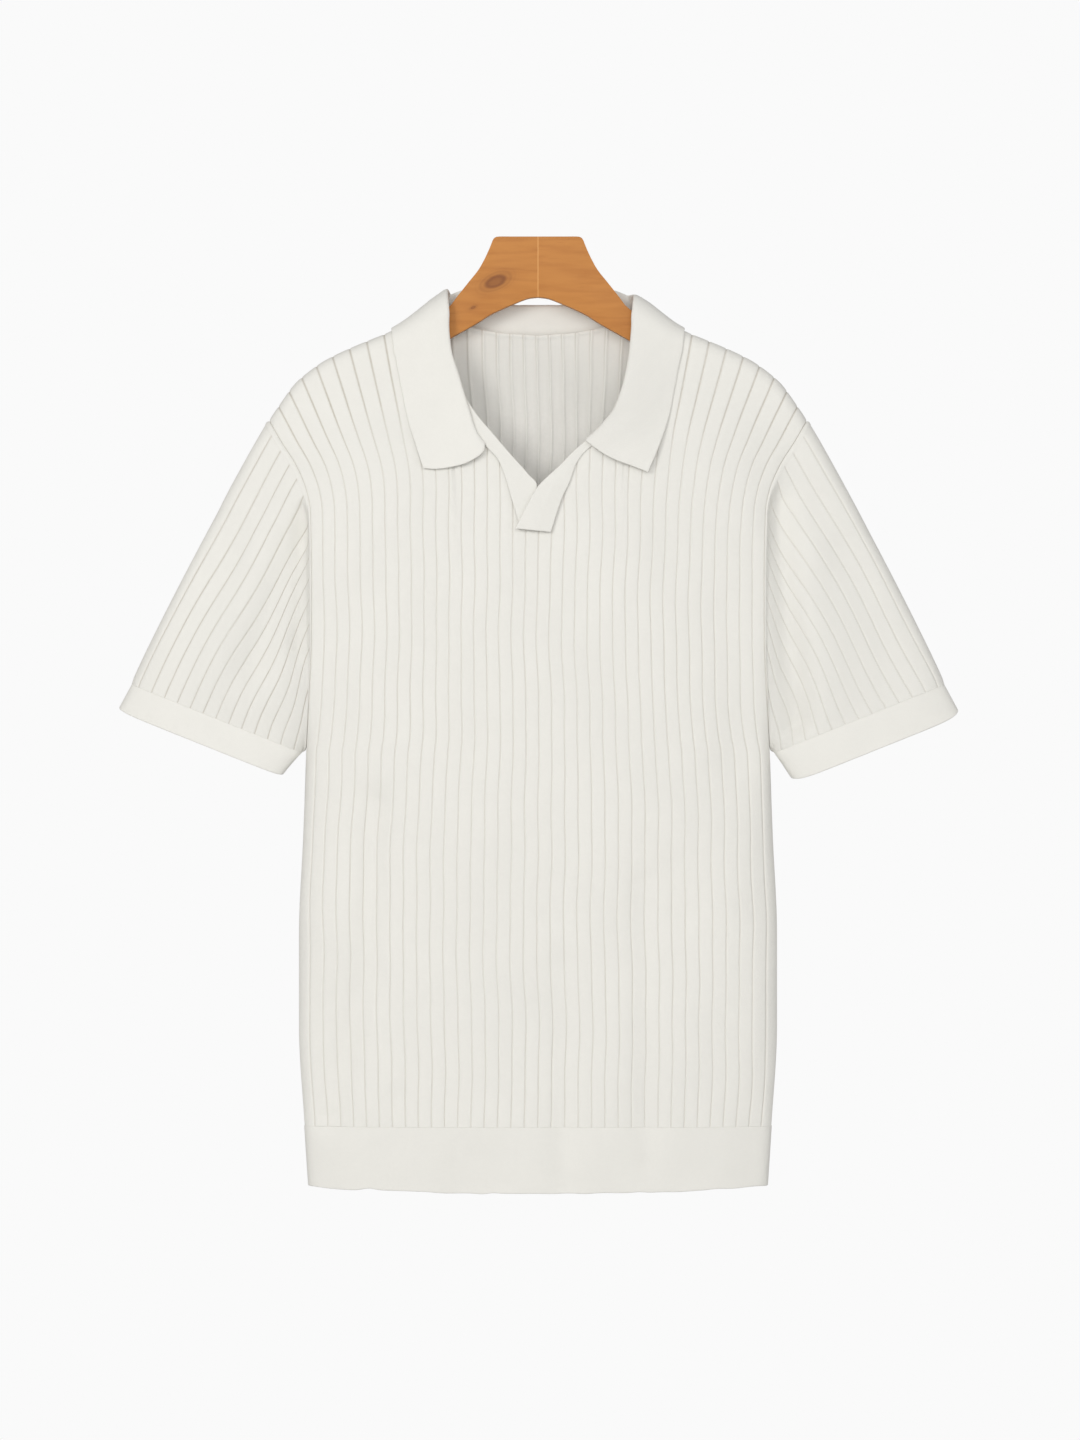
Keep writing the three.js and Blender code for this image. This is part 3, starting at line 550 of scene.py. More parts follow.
def rib_table(side):
    """The x of ribs spaced evenly along the cloth, by height and by share of the way to the edge."""
    rows = []
    for z in TABLE_HEIGHTS:
        half = float(panel_half(z))
        straight_half = FAN["half"] if z > FAN["from_z"] else half
        reach = max(float(body_reach(z)), half)
        across = np.sin(TABLE_SHARES * math.asin(straight_half / reach))
        x = reach * across
        y = DEPTH_SHARE * full_depth[side](z) * (1 - across**FULLNESS) ** (1 / FULLNESS)
        run = np.append(0, np.cumsum(np.hypot(np.diff(x), np.diff(y))))
        even = np.interp(TABLE_SHARES * run[-1], run, x)
        rows.append(even + (half - straight_half) * TABLE_SHARES ** FAN["power"])
    return np.array(rows)


RIB_TABLES = {side: rib_table(side) for side in SIDES}


def rib_x(share, z, side):
    """The front-view x of a rib at a share of the way from the panel's middle to its edge."""
    share, z = np.broadcast_arrays(np.asarray(share, float), np.asarray(z, float))
    table = RIB_TABLES[side]
    i = np.clip((z - TABLE_HEIGHTS[0]) / TABLE_STEP, 0, len(TABLE_HEIGHTS) - 1.001)
    j = np.clip(np.abs(share), 0, 1) * (len(TABLE_SHARES) - 1)
    low_i, low_j = i.astype(int), np.minimum(j.astype(int), len(TABLE_SHARES) - 2)
    i, j = i - low_i, j - low_j
    near = table[low_i, low_j] * (1 - i) + table[low_i + 1, low_j] * i
    far = table[low_i, low_j + 1] * (1 - i) + table[low_i + 1, low_j + 1] * i
    return np.sign(share) * (near * (1 - j) + far * j)


def rib_tops(shares, side):
    """The heights at which ribs meet the panel's top edge."""
    heights = np.arange(UNDERARM, 1.0, 1.0)[:, None]
    x = rib_x(shares[None, :], heights, side)
    edge = np.where(np.abs(x) < NECK_END, neck_height[side](x), shoulder_height(np.abs(x)))
    over = heights - edge
    first = np.maximum((over > 0).argmax(0), 1)
    column = np.arange(len(shares))
    low, high = over[first - 1, column], over[first, column]
    return heights[first - 1, 0] - low / (high - low)


def body_point(share, z, side):
    """A point of the panel's outer face between its ribs."""
    x = rib_x(share, z, side)
    x = x + inside_seams(x, z) * waves(DRIFTS, x, z)
    return point(x, side * hung_depth(x, z, side), z)


def body_normal(share, z, side):
    """The direction out of the cloth at a point of a panel."""
    across, up = 0.002, 0.2
    left = body_point(np.maximum(share - across, -1), z, side)
    right = body_point(np.minimum(share + across, 1), z, side)
    below = body_point(share, z - up, side)
    above = body_point(share, z, side)
    return unit(np.cross(right - left, above - below) * -side)


# The armhole and the sleeve


def armhole_curve(side):
    """The armhole from the underarm to the shoulder, by the share of the way round the cuff at which each
    rib ends."""
    t = np.linspace(0, 1, 241)
    z = UNDERARM + (SHOULDER_TIP - UNDERARM) * (1 - np.cos(math.pi * t)) / 2
    x = panel_half(z)
    curve = evenly(point(x, side * depth_at(x, z, side), z))
    starts = smooth(*np.array(SLEEVE_RIB_STARTS, float).T)
    return lambda around: curve(starts(around))


def sleeve_end_curve(side):
    """The sleeve's lower edge from the underarm to the shoulder's side."""
    end = SLEEVE_END
    across = -np.cos(math.pi * np.linspace(0, 1, 241))
    depth = end["depth"] * (1 - np.abs(across) ** FULLNESS) ** (1 / FULLNESS)
    x = (end["inner_x"] + end["outer_x"]) / 2 + across * (end["outer_x"] - end["inner_x"]) / 2
    z = (end["inner_z"] + end["outer_z"]) / 2 + across * (end["outer_z"] - end["inner_z"]) / 2
    return evenly(point(x, side * depth, z))


armhole = {side: armhole_curve(side) for side in SIDES}
sleeve_end = {side: sleeve_end_curve(side) for side in SIDES}


def sleeve_point(around, along, side):
    """A point of the sleeve by its share of the way round, from the underarm, and down, from the armhole."""
    along = np.asarray(along, float)[..., None]
    outward = np.asarray(around, float)[..., None] ** 4
    bow = BOW["reach"] * outward * np.sqrt(np.sin(math.pi * np.clip(along, 0, 1)))
    start, end = armhole[side](around), sleeve_end[side](around)
    return start * (1 - along) + end * along + bow * np.array(BOW["direction"])


def level_ends(vectors, around):
    """Vectors turned into the middle plane at the underarm and the shoulder, where front meets back."""
    ends = (around <= 0) | (around >= 1)
    vectors[..., 1] = np.where(ends, 0, vectors[..., 1])
    return unit(vectors)


def sleeve_normal(around, along, side):
    """The direction out of the cloth at a point of the sleeve."""
    step = 0.01
    around, along = np.broadcast_arrays(np.asarray(around, float), np.asarray(along, float))
    lower = sleeve_point(np.maximum(around - step, 0), along, side)
    upper = sleeve_point(np.minimum(around + step, 1), along, side)
    near = sleeve_point(around, np.maximum(along - step, 0), side)
    far = sleeve_point(around, np.minimum(along + step, 1), side)
    return level_ends(np.cross(far - near, upper - lower) * -side, around)


def seam_normal(around, side):
    """The direction out of the cloth at the armhole seam, shared by the panel and the sleeve."""
    z = np.clip(armhole[side](around)[..., 2], UNDERARM + 0.5, SHOULDER_TIP - 0.5)
    total = body_normal(np.ones_like(z), z, side) + sleeve_normal(around, np.zeros_like(z), side)
    return level_ends(total, around)


SEAM_SHARES = np.linspace(0, 1, 121)
SEAM_NORMALS = {side: seam_normal(SEAM_SHARES, side) for side in SIDES}
SEAM_HEIGHTS = {side: armhole[side](SEAM_SHARES)[:, 2] for side in SIDES}


def seam_normal_at_height(z, side):
    """The direction out of the cloth at the armhole seam, by height."""
    columns = [np.interp(z, SEAM_HEIGHTS[side], SEAM_NORMALS[side][:, axis]) for axis in range(3)]
    return unit(np.stack(columns, -1))


# Meshes

SMOOTH_ANGLE = 50


def deselect():
    """Leaves nothing selected."""
    for piece in bpy.context.selected_objects:
        piece.select_set(False)


def grid_faces(rows, columns, first, wrap):
    """Four-cornered faces over a grid of points."""
    i = np.arange(rows - 1)[:, None]
    j = np.arange(columns if wrap else columns - 1)[None, :]
    k = (j + 1) % columns
    low, high = first + i * columns, first + (i + 1) * columns
    return np.stack([low + j, low + k, high + k, high + j], -1).reshape(-1, 4)


def shell_faces(rows, columns, wrap):
    """The faces of a wall between an outer and an inner grid."""
    under = rows * columns
    grid = np.arange(under).reshape(rows, columns)
    faces = [grid_faces(rows, columns, 0, wrap), grid_faces(rows, columns, under, wrap)[:, ::-1]]

    def rim(line, turned):
        a, b = line[:-1], line[1:]
        if turned:
            a, b = b, a
        faces.append(np.stack([a, b, b + under, a + under], -1))

    lowest, highest = grid[0], grid[-1]
    if wrap:
        lowest, highest = np.append(lowest, lowest[0]), np.append(highest, highest[0])
    else:
        rim(grid[:, 0], False)
        rim(grid[:, -1], True)
    rim(lowest, True)
    rim(highest, False)
    return np.concatenate(faces)


def wall_volume(points, faces):
    """Six times the volume inside a closed mesh, which is negative where its faces point inwards."""
    a, b, c, d = (points[faces[:, corner]] for corner in range(4))
    return np.einsum("ij,ij->", a, np.cross(b, c)) + np.einsum("ij,ij->", a, np.cross(c, d))


def add_wall(name, outer, inner, wrap, cloth, painted_shade_and_light, finish):
    """An object whose wall lies between two grids, with its place on the cloth and its painted shade and
    light.

    The painted shade goes from 0 in the grooves to 1 on the ribs, and painted light on to 2 on the inside of
    the neck."""
    rows, columns = outer.shape[:2]
    points = np.concatenate([outer.reshape(-1, 3), inner.reshape(-1, 3)]) * MM
    faces = shell_faces(rows, columns, wrap)
    if wall_volume(points, faces) < 0:
        faces = faces[:, ::-1]
    mesh = bpy.data.meshes.new(name)
    mesh.from_pydata(points.tolist(), [], faces.tolist())
    place = mesh.attributes.new("cloth", "FLOAT_VECTOR", "POINT")
    across, along = (np.broadcast_to(part, (rows, columns)).reshape(-1) for part in cloth)
    flat = np.stack([across, along, np.zeros_like(across)], -1) * MM
    place.data.foreach_set("vector", np.concatenate([flat, flat]).astype(np.float32).reshape(-1))
    # This attribute holds painted shade for the grooves and undersides, and painted light for the inside of
    # the neck
    raised = mesh.attributes.new("painted_shade_and_light", "FLOAT", "POINT")
    shown, hidden = (np.broadcast_to(part, (rows, columns)).reshape(-1) for part in painted_shade_and_light)
    raised.data.foreach_set("value", np.concatenate([shown, hidden]).astype(np.float32))
    mesh.materials.append(finish)
    mesh.validate()
    piece = bpy.data.objects.new(name, mesh)
    bpy.context.scene.collection.objects.link(piece)
    deselect()
    piece.select_set(True)
    bpy.context.view_layer.objects.active = piece
    bpy.ops.object.shade_smooth_by_angle(angle=math.radians(SMOOTH_ANGLE))
    piece.select_set(False)
    return piece


def grid_normals(points, wrap_rows=False):
    """Directions out of a grid of points, from its neighbours along both ways."""
    if wrap_rows:
        around = np.roll(points, -1, axis=1) - np.roll(points, 1, axis=1)
    else:
        around = np.gradient(points, axis=1)
    return unit(np.cross(around, np.gradient(points, axis=0)))


def run_lengths(points, axis):
    """How far along a grid each point lies."""
    steps = np.linalg.norm(np.diff(points, axis=axis), axis=-1)
    start = np.zeros_like(np.take(steps, [0], axis=axis))
    return np.concatenate([start, np.cumsum(steps, axis=axis)], axis=axis)


def rounded(distance, radius):
    """The share of its full thickness that a rounded edge has at a distance from its end."""
    return np.sqrt(1 - (1 - np.clip(distance / radius, 0, 1)) ** 2)


def rib_places(count):
    """The places of the points across a number of ribs, from 0 to 1, and the profile's other columns."""
    places = [((rib + at) / count, *values) for rib in range(count) for at, *values in RIB_PROFILE]
    return np.array([*places, (1.0, *RIB_PROFILE[0][1:])]).T


def settle(piece, node):
    """Hides the CAD node that a cloth piece stands in for and attaches the piece to the root."""
    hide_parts(node)
    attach(piece, "root")


# Materials


class Field:
    """A number that changes over a surface. Arithmetic on it adds the nodes that work it out."""

    def __init__(self, finish, socket):
        self.finish = finish
        self.socket = socket

    def math(self, operation, *others):
        """The outcome of arithmetic with other fields or numbers."""
        inputs = {0: self}
        inputs.update({i + 1: other for i, other in enumerate(others)})
        return self.finish.node("ShaderNodeMath", {"operation": operation}, inputs)

    def __add__(self, other):
        return self.math("ADD", other)

    __radd__ = __add__

    def __sub__(self, other):
        return self.math("SUBTRACT", other)

    def __rsub__(self, other):
        return (self * -1) + other

    def __mul__(self, other):
        return self.math("MULTIPLY", other)

    __rmul__ = __mul__

    def __truediv__(self, other):
        return self.math("DIVIDE", other)

    def __pow__(self, other):
        return self.math("POWER", other)

    def sine(self):
        return self.math("SINE")

    def absolute(self):
        return self.math("ABSOLUTE")

    def fraction(self):
        return self.math("FRACT")

    def exponent(self):
        return self.math("EXPONENT")

    def within(self, low, high):
        """0 below low, 1 above high and a smooth step between."""
        settings = {"interpolation_type": "SMOOTHSTEP"}
        inputs = {"Value": self, "From Min": low, "From Max": high}
        return self.finish.node("ShaderNodeMapRange", settings, inputs)


class Finish:
    """A material that is put together from nodes."""

    def __init__(self, name):
        self.material = bpy.data.materials.new(name)
        self.material.use_nodes = True
        self.tree = self.material.node_tree
        self.shader = self.tree.nodes["Principled BSDF"]

    def node(self, kind, settings=None, inputs=None, output=0):
        """Any node, with its settings first and then the values or links of its sockets."""
        made = self.tree.nodes.new(kind)
        for key, value in (settings or {}).items():
            setattr(made, key, value)
        for key, value in (inputs or {}).items():
            self.put(made.inputs[key], value)
        return Field(self, made.outputs[output])

    def put(self, socket, value):
        """Links a field to a socket, or sets its value."""
        if isinstance(value, Field):
            self.tree.links.new(value.socket, socket)
        else:
            socket.default_value = value

    def blend(self, share, first, second):
        """A colour between two others."""
        opaque = [(*colour, 1.0) if isinstance(colour, tuple) else colour for colour in (first, second)]
        return self.node("ShaderNodeMix", {"data_type": "RGBA"}, {0: share, 6: opaque[0], 7: opaque[1]}, 2)

    def noise(self, vector, scale, detail):
        """Soft random clouds."""
        inputs = {"Vector": vector, "Scale": scale, "Detail": detail}
        return self.node("ShaderNodeTexNoise", {"noise_dimensions": "3D"}, inputs)

    def parts(self, vector):
        """The three coordinates of a vector."""
        node = self.tree.nodes.new("ShaderNodeSeparateXYZ")
        self.put(node.inputs[0], vector)
        return [Field(self, socket) for socket in node.outputs]

    def turn(self, vector, slope, scale):
        """Coordinates turned along a slope of the front view and then scaled."""
        inputs = {"Vector": vector, "Rotation": (0.0, slope, 0.0), "Scale": scale}
        return self.node("ShaderNodeMapping", {"vector_type": "POINT"}, inputs)

    def bump(self, height, distance, strength):
        """The surface's direction with small bumps on it."""
        inputs = {"Height": height, "Distance": distance, "Strength": strength}
        return self.node("ShaderNodeBump", None, inputs)

    def shade(self, **inputs):
        """Links or sets the shader's sockets by name."""
        for key, value in inputs.items():
            self.put(self.shader.inputs[key.replace("_", " ").title()], value)

    def fix(self, values):
        """Sets constants on the shader's sockets."""
        for key, value in values.items():
            self.shader.inputs[key].default_value = value


def darker(colour, share):
    """A colour with less light in it."""
    return tuple(part * share for part in colour)


# Noises over the knit: the scale and the detail of its fuzz, its clouds, its drifts and its specks
KNIT_NOISES = ((2600.0, 3.0), (42.0, 2.0), (11.0, 1.0), (330.0, 2.0))
MOTTLE = {"cloud": 0.5, "drift": 0.9, "speckle": 0.4, "level": 0.35, "darkest": 0.93}
STITCH = {"leg": 0.7, "course": 0.3, "shade": 0.16, "darkest": 0.72, "fuzz": 0.35}
KNIT_ROUGHNESS = 0.92
STITCH_SHINE = 0.08
KNIT_SHEEN = {"Sheen Weight": 0.12, "Sheen Roughness": 0.6, "Specular IOR Level": 0.25}
FULL_TURN = 2 * math.pi


def knit_finish(name, tint=1.0):
    """Off-white knit: rows of small stitches, soft mottling, painted shade in the hollows between the ribs
    and painted light on the inside of the neck.
    """
    knit = bpy.context.scene.polo_knit
    finish = Finish(name)
    place = finish.node("ShaderNodeAttribute", {"attribute_name": "cloth"}, None, 1)
    painted_shade_and_light = finish.node("ShaderNodeAttribute", {"attribute_name": "painted_shade_and_light"}, None, 2)
    across, along, _ = finish.parts(place)
    wale = (across / knit.stitch_width).fraction()
    lean = (wale - 0.5).absolute()
    course = ((along / knit.stitch_height + lean) * FULL_TURN).sine()
    leg = (wale * FULL_TURN).sine().absolute()
    stitch = leg * (STITCH["leg"] + STITCH["course"] * course)
    fuzz, cloud, drift, speckle = [finish.noise(place, *values) for values in KNIT_NOISES]
    base = darker(knit.colour, tint)
    # Painted shade towards the grooves and undersides, then painted light on the inside of the neck
    plain = finish.blend(painted_shade_and_light.within(0.05, 0.92), tuple(knit.painted_shade_colour), base)
    plain = finish.blend(painted_shade_and_light.within(1.0, 2.0), plain, tuple(knit.painted_light_colour))
    soiled = (cloud - 0.5) * MOTTLE["cloud"] + (drift - 0.5) * MOTTLE["drift"]
    soiled = soiled + (speckle - 0.5) * MOTTLE["speckle"] + MOTTLE["level"]
    mottled = finish.blend(soiled, plain, darker(base, MOTTLE["darkest"]))
    worked = finish.blend((1.0 - stitch) * STITCH["shade"], mottled, darker(base, STITCH["darkest"]))
    finish.shade(
        base_color=worked,
        roughness=KNIT_ROUGHNESS - STITCH_SHINE * stitch,
        normal=finish.bump(stitch + fuzz * STITCH["fuzz"], 0.00022, 0.5),
    )
    finish.fix(KNIT_SHEEN)
    return finish.material


# The wood's grain and its pores: how closely they repeat along and across the arm
GRAIN_SCALE = (9.0, 60.0, 60.0)
PORE_SCALE = (60.0, 900.0, 900.0)
# A knot and a small mark: x and height of the middle, half width, half height and strength
KNOTS = (
    (-0.034, -0.036, 0.0095, 0.0055, 0.9),
    (-0.052, -0.057, 0.0026, 0.0014, 0.75),
)
KNOT_TILT = -0.35
# The wood's rings: how many, and how far they waver
RINGS = {"count": 2.4, "waver": 7.5}
GRAIN_STRENGTH = 0.3
PORE_STRENGTH = 0.5
GLUE_COLOUR = (0.80, 0.42, 0.15)
WOOD_VARNISH = {"Coat Weight": 0.08, "Coat Roughness": 0.3, "Specular IOR Level": 0.25}


def wood_finish(name, slope, knot):
    """Honey-brown varnished wood with its grain along the arm, and a knot and a small mark on one half."""
    wood = bpy.context.scene.polo_wood
    finish = Finish(name)
    place = finish.node("ShaderNodeTexCoord", None, None, 3)
    x, _, z = finish.parts(place)
    turned = finish.turn(place, slope, GRAIN_SCALE)
    warp = finish.noise(turned, 1.1, 3.0)
    _, _, height = finish.parts(turned)
    rings = ((height * RINGS["count"] + warp * RINGS["waver"]) * math.pi).sine()
    figure = finish.noise(turned, 3.6, 5.0)
    pores = finish.noise(finish.turn(place, slope, PORE_SCALE), 1.0, 2.0)
    grain = (rings * 0.5 + 0.5) ** 2.0 * GRAIN_STRENGTH + figure.within(0.35, 0.75) * GRAIN_STRENGTH
    body = finish.blend(grain, tuple(wood.colour), tuple(wood.grain_colour))
    body = finish.blend(pores.within(0.62, 0.8) * PORE_STRENGTH, body, tuple(wood.grain_colour))
    if knot:
        for centre_x, centre_z, wide, tall, strength in KNOTS:
            along = ((x - centre_x) / wide) ** 2.0
            across = ((z - centre_z + (x - centre_x) * KNOT_TILT) / tall) ** 2.0
            far = (along + across) + (warp - 0.5) * 1.6
            ring = (far * 5.0).sine() * 0.25 + 0.75
            dark = (far * -0.8).exponent() * ring * strength
            body = finish.blend(dark, body, tuple(wood.knot_colour))
    glue = (x.absolute() * -1.0 + 0.0006).within(0.0, 0.0004)
    body = finish.blend(glue * 0.55, body, GLUE_COLOUR)
    finish.shade(
        base_color=body,
        roughness=0.5 + 0.12 * figure,
        normal=finish.bump(pores * 0.4 + grain * 0.6, 0.00012, 0.35),
    )
    finish.fix(WOOD_VARNISH)
    return finish.material


# Panels

# How many rows of points lie below and above the underarm, and how far up the last ones are
LOW_ROW_COUNT = 64
HIGH_ROW_COUNT = 50
RIDGE_ROWS = np.array([0.965, 0.972, 0.978, 0.983, 0.988, 0.992, 0.9955, 0.998, 1.0])
# Half the width of the cloth that a panel is knitted from
HALF_CLOTH = 200.0
# How the inside's ridges compare with the ribs, and the bead along the inside of the back's neck
INNER_SHARE = 1.2
NECK_BEAD = {"height": 0.7, "from_top": 1.6, "width": 1.3}
# How deep and how wide the cloth dips along its seams
SEAM_DIP = (0.35, 1.6)
BAND_DIP = (0.1, 1.2)
SHOULDER_DIP = (0.3, 1.6)
# How dark the painted shade in the grooves is away from the shoulders, and how far down from them it stays
# dark
PLAIN_GROOVE_SHADE = 0.55
SHOULDER_GROOVE_SHADE = {"from": 25, "over": 70}
# Where painted light brightens the inside of the back, which shows in the neck
PAINTED_INSIDE_LIGHT = {"z": -175, "height": 60, "width": 75}


def dip_at(dip, distance):
    """How far the cloth dips at a distance from a seam."""
    depth, width = dip
    return depth * near(distance, width)


def panel_grid(side, shares):
    """Heights of a panel's points in rows from the hem band to its top edge, and the height of that edge."""
    low = np.linspace(BAND_TOP + TOUCH, UNDERARM, LOW_ROW_COUNT)[:-1]
    parts = np.append(np.linspace(0, RIDGE_ROWS[0], HIGH_ROW_COUNT)[:-1], RIDGE_ROWS)
    tops = rib_tops(shares, side)
    high = UNDERARM + parts[:, None] * (tops[None, :] - UNDERARM)
    return np.concatenate([np.broadcast_to(low[:, None], (len(low), len(shares))), high]), tops


def panel_normals(share, z, tops, middle, side):
    """Directions out of a panel, which lie in the middle plane or match the sleeve where it meets others."""
    normal = body_normal(share, np.minimum(z, tops[None, :] - 0.15), side)
    on_shoulder = np.zeros(z.shape, bool)
    on_shoulder[-1] = np.abs(middle[-1, :, 0]) >= NECK_END
    at_side = (np.abs(share) == 1) & (z < UNDERARM)
    normal[..., 1] = np.where(on_shoulder | at_side, 0, normal[..., 1])
    normal = unit(normal)
    for column in (0, -1):
        seam = seam_normal_at_height(z[:, column], side) * np.array([np.sign(share[0, column]), 1, 1])
        above = z[:, column] >= UNDERARM
        normal[above, column] = seam[above]
    return normal


def build_panel(name, node, side, finish):
    """The front or back of the shirt, ribbed from the hem band to the neck and the shoulders."""
    knit = bpy.context.scene.polo_knit
    wall, raised = knit.wall / MM, knit.rib_height / MM
    at, profile, ridge, inner_painted_shade = rib_places(PANEL_RIBS)
    shares = 2 * at - 1
    z, tops = panel_grid(side, shares)
    share = np.broadcast_to(shares, z.shape)
    middle = body_point(share, z, side)
    normal = panel_normals(share, z, tops, middle, side)
    x = middle[..., 0]
    drop = drop_at(x, z)
    in_neck = np.abs(x) < NECK_END
    edge_distance = (panel_half(z) - np.abs(x)) * np.where(z > UNDERARM, 1, 0.6)
    dip = dip_at(SEAM_DIP, edge_distance) + dip_at(BAND_DIP, z - BAND_TOP - TOUCH)
    push = profile * raised - dip - np.where(in_neck, 0, dip_at(SHOULDER_DIP, drop))
    from_bead = tops[None, :] - z - NECK_BEAD["from_top"]
    bead = np.where(in_neck & (side == BACK), NECK_BEAD["height"] * near(from_bead, NECK_BEAD["width"]), 0)
    inward = wall + ease((drop - 16) / 20) * INNER_SHARE * raised * ridge + bead
    outer = middle + normal * push[..., None]
    inner = middle - normal * inward[..., None]
    for sheet in (outer, inner):
        sheet[..., 1] = side * np.maximum(side * sheet[..., 1], TOUCH)
    # Painted shade in the grooves, darkest at the shoulders and lighter below them
    by_shoulder = 1 - ease((drop - SHOULDER_GROOVE_SHADE["from"]) / SHOULDER_GROOVE_SHADE["over"])
    shown = 1 - (1 - profile) * (PLAIN_GROOVE_SHADE + (1 - PLAIN_GROOVE_SHADE) * by_shoulder)
    # Painted light on the inside of the back, where it shows in the neck
    painted_inside_light = near(z - PAINTED_INSIDE_LIGHT["z"], PAINTED_INSIDE_LIGHT["height"]) * near(x, PAINTED_INSIDE_LIGHT["width"]) * (side == BACK)
    painted_shade_and_light = (shown, inner_painted_shade + painted_inside_light)
    piece = add_wall(name, outer, inner, False, (shares * HALF_CLOTH, z), painted_shade_and_light, finish)
    settle(piece, node)


class POLO_OT_front(bpy.types.Operator):
    """Models the ribbed front of the shirt"""

    bl_idname = "polo.front"
    bl_label = "Front panel"

    def execute(self, context):
        finish = knit_finish("rib knit of the front")
        build_panel("shirt_front", "front_panel", FRONT, finish)
        return {"FINISHED"}


class POLO_OT_back(bpy.types.Operator):
    """Models the ribbed back of the shirt"""

    bl_idname = "polo.back"
    bl_label = "Back panel"

    def execute(self, context):
        finish = knit_finish("rib knit of the back")
        build_panel("shirt_back", "back_panel", BACK, finish)
        return {"FINISHED"}


# Sleeves, cuffs and hem band


def round_columns(places, *values):
    """The columns of a tube: up its front from 0 to 1, and then down its back."""
    around = np.append(places[:-1], places[:0:-1])
    side = np.append(np.full(len(places) - 1, FRONT), np.full(len(places) - 1, BACK))
    return [around, side, *(np.append(value[:-1], value[:0:-1]) for value in values)]


def of_own_side(side, make):
    """The values of a tube's columns, each from the function of its own side. A point has three of them."""
    front, back = make(FRONT), make(BACK)
    in_front = side == FRONT
    return np.where(in_front[:, None] if front.shape[-1] == 3 else in_front, front, back)


# How far the sleeve's ribs bend to the side, as a share of the way round
SLEEVE_BEND = 0.009
SLEEVE_ROWS = 72
# The raised armhole seam down the sleeve: its ridge, where the ribs start, and the share that turns to it
SLEEVE_SEAM = {"middle": 2.6, "width": 2.0, "end": 3.4, "fade": 2.2, "turned": 0.08}
# How deep the front's folds go on through the back of the sleeve, and how far from its ends they start
BACK_FOLD_SHARE = 0.55
SLEEVE_CALM = (11, 16)


def between_ends(around, reach):
    """0 at the underarm and the shoulder, and 1 between them."""
    return ease((1 - np.abs(2 * around - 1)) / reach)[None, :]


def build_sleeve(name, node, hand, folds, finish, groove_shade):
    """One short sleeve, a ribbed tube from the raised armhole seam to its cuff."""
    knit = bpy.context.scene.polo_knit
    wall, raised, seam_height = knit.wall / MM, knit.rib_height / MM, knit.seam_height / MM
    around, side, profile, inner_ridge, inner_painted_shade = round_columns(*rib_places(SLEEVE_RIBS))
    along = (np.linspace(0, 1, SLEEVE_ROWS) ** 1.6)[:, None]
    bend = np.sin(9 * along + 3 * around[None, :] + hand)
    bent = around[None, :] + SLEEVE_BEND * between_ends(around, 0.4) * bend
    middle = of_own_side(side, lambda one: sleeve_point(bent, along, one))
    normal = of_own_side(side, lambda one: sleeve_normal(bent, along, one))
    seam = of_own_side(side, lambda one: seam_normal(around, one))
    near_seam = (1 - ease(along / SLEEVE_SEAM["turned"]))[..., None]
    normal = unit(normal * (1 - near_seam) + seam[None] * near_seam)
    away = run_lengths(middle, 0)
    to_cuff = away[-1][None, :] - away
    x, z = middle[..., 0], middle[..., 2]
    fold = np.where(side == FRONT, 1.0, BACK_FOLD_SHARE)[None, :] * fold_at(folds, x, z)
    swell = waves(SWELLS, x * hand + 40 * side[None, :], z) * between_ends(around, 0.2)
    open_cloth = ease(away / SLEEVE_CALM[0]) * ease(to_cuff / SLEEVE_CALM[1])
    body = middle - normal * (open_cloth * (fold + swell))[..., None]
    rib = profile[None, :] * ease((away - SLEEVE_SEAM["end"]) / SLEEVE_SEAM["fade"])
    seam_ridge = seam_height * near(away - SLEEVE_SEAM["middle"], SLEEVE_SEAM["width"], 4)
    ridge = seam_ridge * ease((SHOULDER_TIP + 6 - z) / 4 + 1)
    push = rib * raised + ridge - dip_at(BAND_DIP, to_cuff)
    inward = wall + 0.5 * raised * inner_ridge[None, :] * ease(away / 8)
    flip = np.array([hand, 1, 1])
    outer = (body + normal * push[..., None]) * flip
    inner = (body - normal * inward[..., None]) * flip
    # Painted shade in the sleeve's grooves, fading out at the armhole seam, with its strength given for each
    # sleeve
    shown = 1 - (1 - rib) * np.where(away < 5, ease((away - 3.6) / 1.4), 1) * groove_shade
    cloth = (run_lengths(middle[:1], 1), away)
    piece = add_wall(name, outer, inner, True, cloth, (shown, inner_painted_shade), finish)
    settle(piece, node)


class POLO_OT_sleeves(bpy.types.Operator):
    """Models both sleeves"""

    bl_idname = "polo.sleeves"
    bl_label = "Sleeves"

    def execute(self, context):
        finish = knit_finish("rib knit of the sleeves")
        build_sleeve("shirt_sleeve_left", "sleeve_left", -1, LEFT_SLEEVE_FOLDS, finish, 0.75)
        build_sleeve("shirt_sleeve_right", "sleeve_right", 1, RIGHT_SLEEVE_FOLDS, finish, 0.5)
        return {"FINISHED"}


# What is added to half the wall in a band, how far in its middle lies, how wide its sewn and its free edge
# are rounded, and how far the cuffs wave
BAND_EXTRA = 0.2
BAND_INSET = 0.6
BAND_ROUND = (0.9, 1.1)
CUFF_WAVE = 0.35


def band_rows(height, count):
    """Distances down a band, closer together at both of its ends."""
    ends = np.array([0, 0.12, 0.35, 0.7, 1.2, 2.0])
    inside = np.linspace(ends[-1], height - ends[-1], count)[1:-1]
    return np.concatenate([ends, inside, height - ends[::-1]])[:, None]


